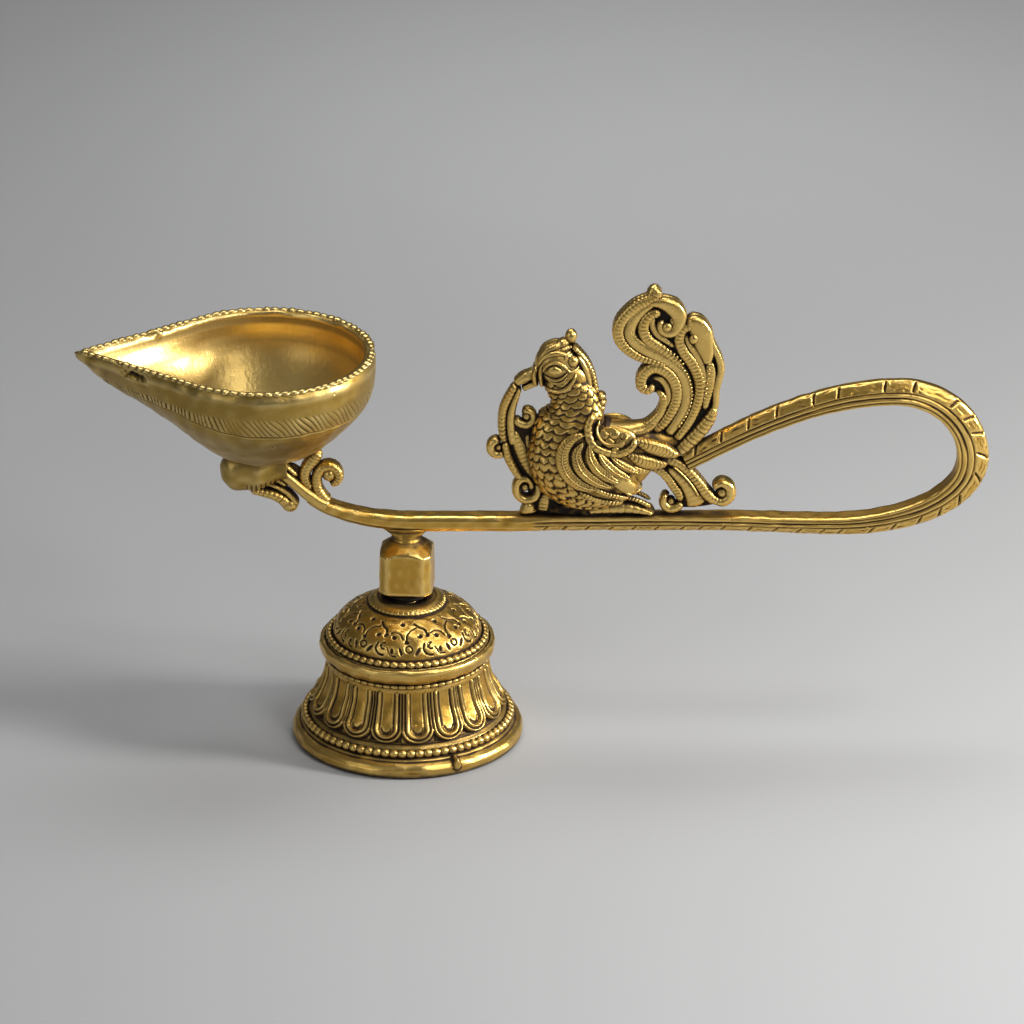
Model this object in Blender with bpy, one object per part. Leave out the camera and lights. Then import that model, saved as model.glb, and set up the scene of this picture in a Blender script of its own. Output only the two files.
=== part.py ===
"""A brass hand lamp: a leaf-shaped oil bowl on a looped handle with a peacock, screwed on a bell-shaped foot.

Metres, +Z up. The origin is under the middle of the whole lamp, on the surface it stands on. +X runs along
the handle, from the bowl to the loop, and the lamp is the same on both sides of the XZ plane.
"""

import math

import bmesh
import bpy
from mathutils import Vector

MM = 0.001

# ---------------------------------------------------------------- driving dimensions
# Reach of the lamp on either side of the stem, the foot's axis.
BOWL_REACH = 93.2 * MM
LOOP_REACH = 165.0 * MM

# Gap between two pieces that touch on the real lamp.
GAP = 0.3 * MM

# Foot: a fluted skirt with a dome in its rim.
FLANGE_RADIUS = 33.1 * MM
FLANGE_HEIGHT = 4.3 * MM
BEAD_STEP_RADIUS = 30.4 * MM
LIP_RADIUS = 28.0 * MM
LIP_HEIGHT = 9.2 * MM
WAIST_RADIUS = 23.0 * MM
WAIST_HEIGHT = 23.4 * MM
RIM_RADIUS = 25.15 * MM
RIM_HEIGHT = 30.0 * MM
SKIRT_WALL = 2.8 * MM
LEDGE_WIDTH = 3.0 * MM
LEDGE_DEPTH = 1.3 * MM

DOME_RADIUS = 21.2 * MM
DOME_RISE = 10.4 * MM
DOME_WALL = 2.5 * MM
DOME_SPRING = 1.8 * MM
COLLAR_RADIUS = 10.8 * MM
COLLAR_TOP_RADIUS = 8.8 * MM
COLLAR_HEIGHT = 1.9 * MM

# Stud: a threaded rod, drawn here at its plain clearance size, clamped in the dome by a nut and a washer.
STUD_RADIUS = 3.75 * MM
STUD_PLAY = 0.4 * MM
STUD_TAIL = 5.4 * MM
FLANGE_OF_STUD_RADIUS = 5.1 * MM
FLANGE_OF_STUD_HEIGHT = 1.7 * MM
THREAD_PITCH = 1.25 * MM
THREAD_TURNS = 6.5
NUT_ACROSS = 13.0 * MM
NUT_HEIGHT = 4.2 * MM
STUD_WASHER_RADIUS = 8.0 * MM
STUD_WASHER_HEIGHT = 1.0 * MM

# Neck: an octagon with a sloped shoulder and a round stub under the handle.
NECK_WASHER_RADIUS = 6.0 * MM
NECK_WASHER_HEIGHT = 2.0 * MM
NECK_ACROSS = 15.2 * MM
NECK_HEIGHT = 11.2 * MM
NECK_SHOULDER_HEIGHT = 4.4 * MM
NECK_STUB_RADIUS = 3.8 * MM
NECK_STUB_HEIGHT = 2.2 * MM
NECK_BORE_SPARE = 2.4 * MM

# Handle: one bar, thicker at the far end of its loop.
BAR_WIDTH = 6.3 * MM
BAR_THICK = 4.9 * MM
LOOP_BOTTOM_THICK = 5.6 * MM
LOOP_END_THICK = 9.1 * MM
LOOP_TOP_THICK = 7.0 * MM
LOOP_TAIL_THICK = 5.4 * MM
LOOP_HEIGHT = 40.5 * MM
LOOP_TAIL_REACH = 78.9 * MM
LOOP_TAIL_RISE = 19.4 * MM
ARM_END_REACH = 27.1 * MM
ARM_END_RISE = 7.9 * MM
ARM_END_THICK = 3.6 * MM

# Bowl: a circle drawn out to a pointed lip.
BOWL_RADIUS = 31.5 * MM
BOWL_CENTRE_REACH = 39.9 * MM
BOWL_DEPTH = 30.2 * MM
BOWL_RIM_RISE = 52.4 * MM
BOWL_WALL = 2.6 * MM
BOWL_RIM_WIDTH = 3.7 * MM
BOWL_FOOT_RADIUS = 9.5 * MM
RIVET_RADIUS = 1.9 * MM
RIVET_HEAD_RADIUS = 3.6 * MM
RIVET_HEAD_HEIGHT = 1.1 * MM
RIVET_DEPTH = 6.0 * MM

# Bracket: the pad under the bowl, with its strut, prop, scroll and leaf.
SEAT_LENGTH = 19.0 * MM
SEAT_LEFT = 12.9 * MM
SEAT_HEIGHT = 11.8 * MM
SEAT_WIDTH = 11.0 * MM
STRUT_THICK = 2.8 * MM
STRUT_WIDTH = 5.6 * MM
SCROLL_THICK = 2.0 * MM
SCROLL_WIDTH = 5.0 * MM
LEAF_THICK = 2.6 * MM

# Peacock, measured from the middle of its foot on top of the bar.
BIRD_REACH = 55.4 * MM
BIRD_SCALE = 1.0
BIRD_FOOT_REACH = 26.0 * MM
BIRD_TAIL_REACH = 38.0 * MM
FOOT_PLATE_THICK = 2.0 * MM
PLUME_THICK = 5.0 * MM
STRAND_WIDTH = 5.0 * MM
GARLAND_WIDTH = 5.0 * MM

ROUND_STEPS = 40

# ---------------------------------------------------------------- places worked out from them
STUD_HOLE_RADIUS = STUD_RADIUS + STUD_PLAY
STEM_X = (BOWL_REACH - LOOP_REACH) / 2
DOME_SEAT_Z = RIM_HEIGHT - LEDGE_DEPTH + GAP
DOME_SPRING_Z = RIM_HEIGHT + DOME_SPRING
COLLAR_SHARE = COLLAR_RADIUS / DOME_RADIUS
COLLAR_Z = DOME_SPRING_Z + DOME_RISE * math.sqrt(1 - COLLAR_SHARE**2)
DOME_TOP_Z = COLLAR_Z + COLLAR_HEIGHT
CROWN_UNDER_Z = COLLAR_Z - DOME_WALL
COUNTERBORE_Z = DOME_TOP_Z - FLANGE_OF_STUD_HEIGHT - 3 * GAP
STUD_FLANGE_Z = COUNTERBORE_Z + GAP
NECK_WASHER_Z = DOME_TOP_Z + GAP
NECK_Z = NECK_WASHER_Z + NECK_WASHER_HEIGHT + GAP
NECK_TRAVEL = THREAD_PITCH * THREAD_TURNS
NECK_TOP_Z = NECK_Z + NECK_HEIGHT + NECK_SHOULDER_HEIGHT + NECK_STUB_HEIGHT
BAR_Z = NECK_TOP_Z + GAP + BAR_THICK / 2
BOWL_X = STEM_X - BOWL_CENTRE_REACH
BOWL_TIP = BOWL_REACH - BOWL_CENTRE_REACH
BOWL_RIM_Z = BAR_Z + BOWL_RIM_RISE
BOWL_FOOT_Z = BOWL_RIM_Z - BOWL_DEPTH
BIRD_X = STEM_X + BIRD_REACH


# ---------------------------------------------------------------- materials
def brass(name, colour, roughness):
    """A polished or antiqued brass: a metal with its own colour and roughness."""
    material = bpy.data.materials.new(name)
    material.use_nodes = True
    shader = material.node_tree.nodes["Principled BSDF"]
    shader.inputs["Base Color"].default_value = (*colour, 1.0)
    shader.inputs["Roughness"].default_value = roughness
    shader.inputs["Metallic"].default_value = 1.0
    return material


# ---------------------------------------------------------------- shape helpers
def finish(name, mesh_builder, material, sharp_angle=35.0):
    """Turn a bmesh into a named, smooth-shaded object with its faces pointing out."""
    bmesh.ops.recalc_face_normals(mesh_builder, faces=mesh_builder.faces)
    mesh = bpy.data.meshes.new(name)
    mesh_builder.to_mesh(mesh)
    mesh_builder.free()
    mesh.shade_smooth()
    mesh.set_sharp_from_angle(angle=math.radians(sharp_angle))
    mesh.materials.append(material)
    part = bpy.data.objects.new(name, mesh)
    bpy.context.collection.objects.link(part)
    return part


def turned(name, profile, material, x=STEM_X, steps=ROUND_STEPS):
    """Spin a closed outline of (radius, height) points about the upright axis at x."""
    builder = bmesh.new()
    points = [builder.verts.new((x + radius, 0, height)) for radius, height in profile]
    edges = [builder.edges.new((a, b)) for a, b in zip(points, points[1:] + points[:1])]
    bmesh.ops.spin(
        builder,
        geom=points + edges,
        cent=(x, 0, 0),
        axis=(0, 0, 1),
        angle=2 * math.pi,
        steps=steps,
        use_merge=True,
    )
    bmesh.ops.remove_doubles(builder, verts=builder.verts, dist=1e-6)
    return finish(name, builder, material)


def stacked(name, rings, material, closed=False, sharp_angle=35.0):
    """Join rings of points, one after the other, and cap both ends or close the stack on itself."""
    builder = bmesh.new()
    loops = [[builder.verts.new(point) for point in ring] for ring in rings]
    pairs = list(zip(loops, loops[1:]))
    if closed:
        pairs.append((loops[-1], loops[0]))
    else:
        builder.faces.new(loops[0])
        builder.faces.new(reversed(loops[-1]))
    for lower, upper in pairs:
        for a, b, c, d in zip(lower, lower[1:] + lower[:1], upper[1:] + upper[:1], upper):
            builder.faces.new((a, b, c, d))
    return finish(name, builder, material, sharp_angle)


def polygon_ring(x, across, height, sides):
    """Corners of a regular polygon at a height, with one flat facing the front."""
    corner = across / 2 / math.cos(math.pi / sides)
    turn = math.pi / sides - math.pi / 2
    angles = [turn + 2 * math.pi * side / sides for side in range(sides)]
    return [(x + corner * math.cos(a), corner * math.sin(a), height) for a in angles]


def bore(part, radius, bottom, top, x=STEM_X, steps=24):
    """Cut a round upright hole from bottom to top with a hidden cutter."""
    builder = bmesh.new()
    bmesh.ops.create_cone(
        builder, cap_ends=True, segments=steps, radius1=radius, radius2=radius, depth=top - bottom
    )
    cutter = finish(part.name + "_bore", builder, part.data.materials[0])
    cutter.location = (x, 0, (top + bottom) / 2)
    cutter.hide_render = True
    cutter.display_type = "WIRE"
    cut = part.modifiers.new("bore", "BOOLEAN")
    cut.operation = "DIFFERENCE"
    cut.object = cutter


def bezier(knots, steps):
    """Points along cubic curves. A knot is (x, z, direction in degrees, handle before, handle after)."""
    points = []
    for first, second in zip(knots, knots[1:]):
        start, end = Vector(first[:2]), Vector(second[:2])
        out_angle, in_angle = math.radians(first[2]), math.radians(second[2])
        leave = start + first[4] * Vector((math.cos(out_angle), math.sin(out_angle)))
        arrive = end - second[3] * Vector((math.cos(in_angle), math.sin(in_angle)))
        for step in range(steps):
            t = step / steps
            s = 1 - t
            points.append(s**3 * start + 3 * s * s * t * leave + 3 * s * t * t * arrive + t**3 * end)
    points.append(Vector(knots[-1][:2]))
    return points


def through(points, steps=4, closed=False):
    """A smooth curve through hand-placed points (Catmull-Rom)."""
    places = [Vector(point) for point in points]
    if closed:
        places = [places[-1], *places, places[0], places[1]]
    else:
        places = [2 * places[0] - places[1], *places, 2 * places[-1] - places[-2]]
    curve = []
    for a, b, c, d in zip(places, places[1:], places[2:], places[3:]):
        for step in range(steps):
            t = step / steps
            bend = 2 * a - 5 * b + 4 * c - d
            twist = 3 * b - a - 3 * c + d
            curve.append(0.5 * (2 * b + (c - a) * t + bend * t * t + twist * t**3))
    if not closed:
        curve.append(places[-2])
    return curve


def spread(values, count):
    """Values at equal steps, drawn out evenly to a longer list."""
    if len(values) == 1:
        return values * count
    last = len(values) - 1
    drawn = []
    for index in range(count):
        place = index * last / (count - 1)
        low = min(int(place), last - 1)
        drawn.append(values[low] + (values[low + 1] - values[low]) * (place - low))
    return drawn


# Half a bar's section is 1 by 1: a rectangle with its corners cut, and a circle for rounded pieces.
CHAMFER = 0.45
BAR_SECTION = [
    (1, -1 + CHAMFER),
    (1, 1 - CHAMFER),
    (1 - CHAMFER, 1),
    (CHAMFER - 1, 1),
    (-1, 1 - CHAMFER),
    (-1, CHAMFER - 1),
    (CHAMFER - 1, -1),
    (1 - CHAMFER, -1),
]
ROUND_SECTION = [(math.cos(k * math.pi / 6), math.sin(k * math.pi / 6)) for k in range(12)]


def swept(name, path, thick, width, material, section=BAR_SECTION, sharp_angle=35.0):
    """Carry a section along a path in the XZ plane. thick and width are lists that the path spreads out."""
    thickness = spread(thick, len(path))
    widths = spread(width, len(path))
    rings = []
    for index, point in enumerate(path):
        ahead = path[min(index + 1, len(path) - 1)] - path[max(index - 1, 0)]
        across = Vector((-ahead.y, ahead.x)).normalized() * thickness[index] / 2
        half = widths[index] / 2
        rings.append([(point.x + a * across.x, b * half, point.y + a * across.y) for a, b in section])
    return stacked(name, rings, material, sharp_angle=sharp_angle)


def plate(name, outline, thick, edge, material):
    """A flat piece in the XZ plane with bevelled edges front and back."""
    builder = bmesh.new()
    corners = [builder.verts.new((point.x, -thick / 2, point.y)) for point in outline]
    face = builder.faces.new(corners)
    grown = bmesh.ops.extrude_face_region(builder, geom=[face])["geom"]
    moved = [part for part in grown if isinstance(part, bmesh.types.BMVert)]
    bmesh.ops.translate(builder, verts=moved, vec=(0, thick, 0))
    rims = [e for e in builder.edges if abs(e.verts[0].co.y - e.verts[1].co.y) < thick / 2]
    bmesh.ops.bevel(builder, geom=rims, offset=edge, segments=1, affect="EDGES")
    return finish(name, builder, material)


# ---------------------------------------------------------------- foot
def base_skirt(material):
    """The flared, hollow lower half of the foot."""
    ledge_radius = RIM_RADIUS - LEDGE_WIDTH / 2
    inner_rim = RIM_RADIUS - LEDGE_WIDTH - SKIRT_WALL / 2
    profile = [
        (FLANGE_RADIUS - SKIRT_WALL, 0),
        (FLANGE_RADIUS - 0.4 * MM, 0),
        (FLANGE_RADIUS, FLANGE_HEIGHT * 0.35),
        (FLANGE_RADIUS - 0.4 * MM, FLANGE_HEIGHT * 0.7),
        (FLANGE_RADIUS - 1.7 * MM, FLANGE_HEIGHT),
        (BEAD_STEP_RADIUS, FLANGE_HEIGHT + 0.9 * MM),
        (BEAD_STEP_RADIUS - 0.2 * MM, FLANGE_HEIGHT + 2.4 * MM),
        (LIP_RADIUS, LIP_HEIGHT),
        (LIP_RADIUS - 1.9 * MM, LIP_HEIGHT + (WAIST_HEIGHT - LIP_HEIGHT) * 0.27),
        (WAIST_RADIUS + 0.9 * MM, LIP_HEIGHT + (WAIST_HEIGHT - LIP_HEIGHT) * 0.55),
        (WAIST_RADIUS + 0.1 * MM, LIP_HEIGHT + (WAIST_HEIGHT - LIP_HEIGHT) * 0.8),
        (WAIST_RADIUS, WAIST_HEIGHT),
        (WAIST_RADIUS + 0.5 * MM, WAIST_HEIGHT + (RIM_HEIGHT - WAIST_HEIGHT) * 0.3),
        (RIM_RADIUS - 0.5 * MM, WAIST_HEIGHT + (RIM_HEIGHT - WAIST_HEIGHT) * 0.5),
        (RIM_RADIUS, WAIST_HEIGHT + (RIM_HEIGHT - WAIST_HEIGHT) * 0.8),
        (RIM_RADIUS - 0.3 * MM, RIM_HEIGHT),
        (ledge_radius, RIM_HEIGHT),
        (ledge_radius, RIM_HEIGHT - LEDGE_DEPTH),
        (inner_rim, RIM_HEIGHT - LEDGE_DEPTH),
        (WAIST_RADIUS - SKIRT_WALL, WAIST_HEIGHT - 1.0 * MM),
        (WAIST_RADIUS + 1.5 * MM - SKIRT_WALL, LIP_HEIGHT + (WAIST_HEIGHT - LIP_HEIGHT) * 0.5),
        (LIP_RADIUS - SKIRT_WALL, LIP_HEIGHT - 1.0 * MM),
    ]
    return turned("base_skirt", profile, material)


def dome_arc(radius, rise, start, end, count):
    """Points on a quarter ellipse, between two shares of its turn."""
    turns = [math.radians(start + (end - start) * k / (count - 1)) for k in range(count)]
    return [(radius * math.cos(t), DOME_SPRING_Z + rise * math.sin(t)) for t in turns]


def base_dome(material):
    """The shell that closes the skirt, with a collar and a counterbored hole for the stud."""
    ledge_radius = RIM_RADIUS - LEDGE_WIDTH / 2
    collar_turn = math.degrees(math.acos(COLLAR_SHARE))
    boss_radius = STUD_WASHER_RADIUS + 1.5 * MM
    inside_radius = DOME_RADIUS - DOME_WALL
    inside_rise = DOME_RISE - DOME_WALL
    inside_turn = math.degrees(math.asin(max(0.2, (CROWN_UNDER_Z - DOME_SPRING_Z) / inside_rise * 0.96)))
    profile = [
        (STUD_HOLE_RADIUS, CROWN_UNDER_Z),
        (STUD_HOLE_RADIUS, COUNTERBORE_Z),
        (FLANGE_OF_STUD_RADIUS + GAP, COUNTERBORE_Z),
        (FLANGE_OF_STUD_RADIUS + GAP, DOME_TOP_Z),
        (COLLAR_TOP_RADIUS, DOME_TOP_Z),
        (COLLAR_RADIUS, COLLAR_Z + COLLAR_HEIGHT * 0.3),
        *dome_arc(DOME_RADIUS, DOME_RISE, collar_turn, 0, 7),
        (ledge_radius - GAP - 0.6 * MM, RIM_HEIGHT + DOME_SPRING * 0.9),
        (ledge_radius - GAP, RIM_HEIGHT + DOME_SPRING * 0.5),
        (ledge_radius - GAP, DOME_SEAT_Z),
        (inside_radius, DOME_SEAT_Z),
        *dome_arc(inside_radius, inside_rise, 0, inside_turn, 4),
        (boss_radius, CROWN_UNDER_Z),
    ]
    return turned("base_dome", profile, material)


def stem_stud(material):
    """The stud that holds the neck, with a flange that sits in the dome's counterbore."""
    tail = CROWN_UNDER_Z - GAP - STUD_WASHER_HEIGHT - STUD_TAIL
    top = NECK_Z + NECK_TRAVEL
    profile = [
        (STUD_RADIUS, tail),
        (STUD_RADIUS, STUD_FLANGE_Z),
        (FLANGE_OF_STUD_RADIUS, STUD_FLANGE_Z),
        (FLANGE_OF_STUD_RADIUS, STUD_FLANGE_Z + FLANGE_OF_STUD_HEIGHT),
        (STUD_RADIUS, STUD_FLANGE_Z + FLANGE_OF_STUD_HEIGHT),
        (STUD_RADIUS, top - 0.6 * MM),
        (STUD_RADIUS - 0.6 * MM, top),
    ]
    rings = [round_ring(STEM_X, radius, height, 24) for radius, height in profile]
    return stacked("stem_stud", rings, material)


def round_ring(x, radius, height, steps):
    """Points of a level circle about the upright axis at x."""
    angles = [2 * math.pi * step / steps for step in range(steps)]
    return [(x + radius * math.cos(a), radius * math.sin(a), height) for a in angles]


def flat_ring(name, inner, outer, bottom, height, material):
    """A washer: a flat ring with small outer chamfers."""
    chamfer = 0.2 * height
    profile = [
        (inner, bottom),
        (inner, bottom + height),
        (outer - chamfer, bottom + height),
        (outer, bottom + height - chamfer),
        (outer, bottom + chamfer),
        (outer - chamfer, bottom),
    ]
    return turned(name, profile, material, steps=28)


def stud_nut(material):
    """The hexagon nut under the dome."""
    top = CROWN_UNDER_Z - GAP - STUD_WASHER_HEIGHT - GAP
    bottom = top - NUT_HEIGHT
    rings = [
        polygon_ring(STEM_X, NUT_ACROSS - 1.2 * MM, bottom, 6),
        polygon_ring(STEM_X, NUT_ACROSS, bottom + 0.6 * MM, 6),
        polygon_ring(STEM_X, NUT_ACROSS, top, 6),
    ]
    nut = stacked("stud_nut", rings, material)
    bore(nut, STUD_HOLE_RADIUS, bottom - MM, top + MM)


def neck(material):
    """The octagonal neck with its blind threaded hole."""
    shoulder = NECK_Z + NECK_HEIGHT
    stub = shoulder + NECK_SHOULDER_HEIGHT
    rings = [
        polygon_ring(STEM_X, NECK_ACROSS - 0.8 * MM, NECK_Z, 8),
        polygon_ring(STEM_X, NECK_ACROSS, NECK_Z + 0.8 * MM, 8),
        polygon_ring(STEM_X, NECK_ACROSS, shoulder, 8),
        polygon_ring(STEM_X, NECK_STUB_RADIUS * 2 + 3.4 * MM, (shoulder + stub) / 2, 8),
        polygon_ring(STEM_X, NECK_STUB_RADIUS * 2, stub, 8),
        polygon_ring(STEM_X, NECK_STUB_RADIUS * 2, NECK_TOP_Z, 8),
    ]
    body = stacked("neck", rings, material)
    bore(body, STUD_HOLE_RADIUS, NECK_Z - MM, NECK_Z + NECK_TRAVEL + NECK_BORE_SPARE)


# ---------------------------------------------------------------- handle
def arm_knots():
    """The handle's middle line, from the bowl's bracket over the neck and round the loop."""
    span = LOOP_REACH - LOOP_END_THICK / 2
    return [
        (STEM_X - ARM_END_REACH, BAR_Z + ARM_END_RISE, -40, 0, ARM_END_REACH * 0.27),
        (STEM_X + 4.0 * MM, BAR_Z, 0, ARM_END_REACH * 0.5, span * 0.2),
        (STEM_X + span * 0.55, BAR_Z + 0.1 * MM, 0, span * 0.18, span * 0.06),
        (STEM_X + span * 0.76, BAR_Z - 0.8 * MM, 0, span * 0.07, span * 0.125),
        (STEM_X + span, BAR_Z + LOOP_HEIGHT * 0.5, 90, LOOP_HEIGHT * 0.33, LOOP_HEIGHT * 0.27),
        (STEM_X + span * 0.866, BAR_Z + LOOP_HEIGHT, 180, span * 0.076, span * 0.158),
        (STEM_X + LOOP_TAIL_REACH, BAR_Z + LOOP_TAIL_RISE, 208, span * 0.083, 0),
    ]


def handle_bar(material):
    """The bar itself."""
    return swept("handle_bar", bezier(arm_knots(), 10), bar_thick(), [BAR_WIDTH], material)


def bar_thick():
    """The bar's thickness at the seven knots of its middle line."""
    return [
        ARM_END_THICK,
        BAR_THICK,
        BAR_THICK,
        LOOP_BOTTOM_THICK,
        LOOP_END_THICK,
        LOOP_TOP_THICK,
        LOOP_TAIL_THICK,
    ]


def bar_top(left, right):
    """The highest point of the bar's lower run between two places along X."""
    line = bezier(arm_knots(), 10)
    thick = spread(bar_thick(), len(line))
    return max(p.y + t / 2 for p, t in list(zip(line, thick))[:30] if left <= p.x <= right)


def arm_end():
    """The middle of the arm's end by the bracket, and the direction it points in, away from the stem."""
    line = bezier(arm_knots(), 10)
    return line[0], (line[0] - line[1]).normalized()


# ---------------------------------------------------------------- bowl
# Outer wall of the bowl: (share of its radius, share of its drawn-out tip, share of its depth).
BOWL_WALL_LINE = [
    (0.97, 1.0, 1.0),
    (1.0, 0.985, 0.93),
    (1.0, 0.94, 0.86),
    (0.985, 0.83, 0.68),
    (0.91, 0.67, 0.5),
    (0.77, 0.53, 0.33),
    (0.6, 0.405, 0.16),
]


def bowl_ring(radius, tip, height, count=44):
    """A circle whose two tangents meet at the tip, seen from above, at one height."""
    tip = max(tip, radius * 1.001)
    tangent = math.pi - math.acos(radius / tip)
    ring = []
    for step in range(count):
        turn = -math.pi + 2 * math.pi * step / count
        reach = radius if abs(turn) <= tangent else radius / math.cos(abs(turn) - tangent)
        ring.append((BOWL_X + reach * math.cos(turn), reach * math.sin(turn), height))
    return ring


def bowl(material):
    """The bowl, open at the top, with a rivet hole in its floor."""
    hole = RIVET_RADIUS + GAP
    floor = BOWL_FOOT_Z + BOWL_WALL
    outer = [bowl_ring(hole, 0, BOWL_FOOT_Z), bowl_ring(BOWL_FOOT_RADIUS, 0, BOWL_FOOT_Z)]
    inner = [bowl_ring(hole, 0, floor), bowl_ring(BOWL_FOOT_RADIUS, 0, floor + 0.3 * MM)]
    for radius, tip, rise in reversed(BOWL_WALL_LINE):
        outer.append(bowl_ring(BOWL_RADIUS * radius, BOWL_TIP * tip, BOWL_FOOT_Z + BOWL_DEPTH * rise))
    for radius, tip, rise in reversed(BOWL_WALL_LINE[1:]):
        height = floor + (BOWL_DEPTH - BOWL_WALL) * rise
        inner.append(
            bowl_ring(BOWL_RADIUS * radius - BOWL_RIM_WIDTH, BOWL_TIP * tip - 1.6 * BOWL_RIM_WIDTH, height)
        )
    inner.append(bowl_ring(BOWL_RADIUS - BOWL_RIM_WIDTH, BOWL_TIP - 1.6 * BOWL_RIM_WIDTH, BOWL_RIM_Z))
    return stacked("bowl", outer + inner[::-1], material, closed=True)


def bowl_rivet(material):
    """The rivet through the bowl's floor, with a low round head."""
    head = BOWL_FOOT_Z + BOWL_WALL + GAP
    bottom = BOWL_FOOT_Z - RIVET_DEPTH
    profile = [
        (RIVET_RADIUS, bottom),
        (RIVET_RADIUS, head),
        (RIVET_HEAD_RADIUS, head),
        (RIVET_HEAD_RADIUS * 0.85, head + RIVET_HEAD_HEIGHT * 0.6),
        (RIVET_HEAD_RADIUS * 0.4, head + RIVET_HEAD_HEIGHT),
    ]
    rings = [round_ring(BOWL_X, radius, height, 20) for radius, height in profile]
    return stacked("bowl_rivet", rings, material)


# ---------------------------------------------------------------- bracket
def seat_line():
    """The pad's left end, its right end, its top and its bottom."""
    left = BOWL_X - SEAT_LEFT
    top = BOWL_FOOT_Z - GAP
    return left, left + SEAT_LENGTH, top, top - SEAT_HEIGHT


def bowl_seat(material):
    """The rounded pad under the bowl, with a blind hole for the rivet."""
    left, right, top, bottom = seat_line()
    middle = (top + bottom) / 2
    shares = [0.0, 0.06, 0.2, 0.45, 0.75, 1.0]
    fullness = [0.35, 0.72, 0.93, 1.0, 0.95, 0.8]
    rings = []
    for share, full in zip(shares, fullness):
        x = left + (right - left) * share
        half = SEAT_WIDTH / 2 * full
        low = middle - (middle - bottom) * full
        side = [(half, top - SEAT_HEIGHT * 0.12), (half, low + SEAT_HEIGHT * 0.2)]
        under = [(half * 0.6, low), (-half * 0.6, low)]
        other = [(-half, low + SEAT_HEIGHT * 0.2), (-half, top - SEAT_HEIGHT * 0.12)]
        crown = top - SEAT_HEIGHT * 0.25 * (1 - full)
        over = [(-half * 0.8, crown), (half * 0.8, crown)]
        rings.append([(x, y, z) for y, z in side + under + other + over])
    pad = stacked("bowl_seat", rings, material)
    bore(pad, RIVET_RADIUS + GAP, top - RIVET_DEPTH, top + MM, x=BOWL_X, steps=20)


def bracket(material):
    """Strut, prop, scroll and leaf between the arm's end and the bowl."""
    _, right, top, bottom = seat_line()
    end, away = arm_end()
    foot = end + away * (GAP + STRUT_THICK * 0.4)
    head = Vector((right + GAP + 1.3 * MM, bottom + SEAT_HEIGHT * 0.44))
    swept("bracket_strut", [foot, (foot + head) / 2, head], [STRUT_THICK], [STRUT_WIDTH], material)
    # The scroll stands on the arm a little in from its end, and curls over away from the bowl.
    root = end + Vector((ARM_END_REACH * 0.11, 0)) + Vector((0, ARM_END_THICK * 0.35 + GAP))
    size = top - root.y
    curl = root + Vector((size * 0.18, size * 0.44))
    turns = [math.radians(190 - 290 * k / 14) for k in range(15)]
    radii = spread([size * 0.34, size * 0.15], 15)
    line = [root] + [curl + r * Vector((math.cos(t), math.sin(t))) for t, r in zip(turns, radii)]
    swept("bracket_scroll", line, [SCROLL_THICK, SCROLL_THICK * 0.8], [SCROLL_WIDTH], material)
    # The prop leans from beside the scroll's stem to the bowl's underside.
    beside = min(point.x for point in line) - SCROLL_THICK - GAP
    lean = [
        Vector((beside - SCROLL_THICK * 0.3, line[2].y)),
        Vector((beside, line[4].y + SCROLL_THICK * 0.3)),
        Vector((beside + SCROLL_THICK * 0.8, top - SCROLL_THICK * 0.6)),
    ]
    swept("bracket_prop", through(lean, 3), [SCROLL_THICK * 0.8], [SCROLL_WIDTH], material)
    # The leaf hangs under the pad, with its thick tip turned down.
    root = Vector((BOWL_X - 2.0 * MM, bottom - GAP - LEAF_THICK / 2))
    leaf = [root + Vector(step) * MM for step in ((0, 0), (5.2, -0.2), (8.6, -1.9), (10.0, -4.4))]
    thick = [LEAF_THICK * 0.7, LEAF_THICK, LEAF_THICK * 1.5]
    swept("bracket_leaf", through(leaf), thick, [STRUT_WIDTH], material)


# ---------------------------------------------------------------- peacock
def bird_floor():
    """The height of the bar's top under the bird."""
    return bar_top(BIRD_X - BIRD_FOOT_REACH, BIRD_X + BIRD_TAIL_REACH)


def bird(points):
    """Places on the bird, given in millimetres from the middle of its foot on the bar."""
    origin = Vector((BIRD_X, bird_floor()))
    return [origin + Vector(point) * MM * BIRD_SCALE for point in points]


def sizes(values):
    """Sizes on the bird in millimetres."""
    return [value * MM * BIRD_SCALE for value in values]


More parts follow.
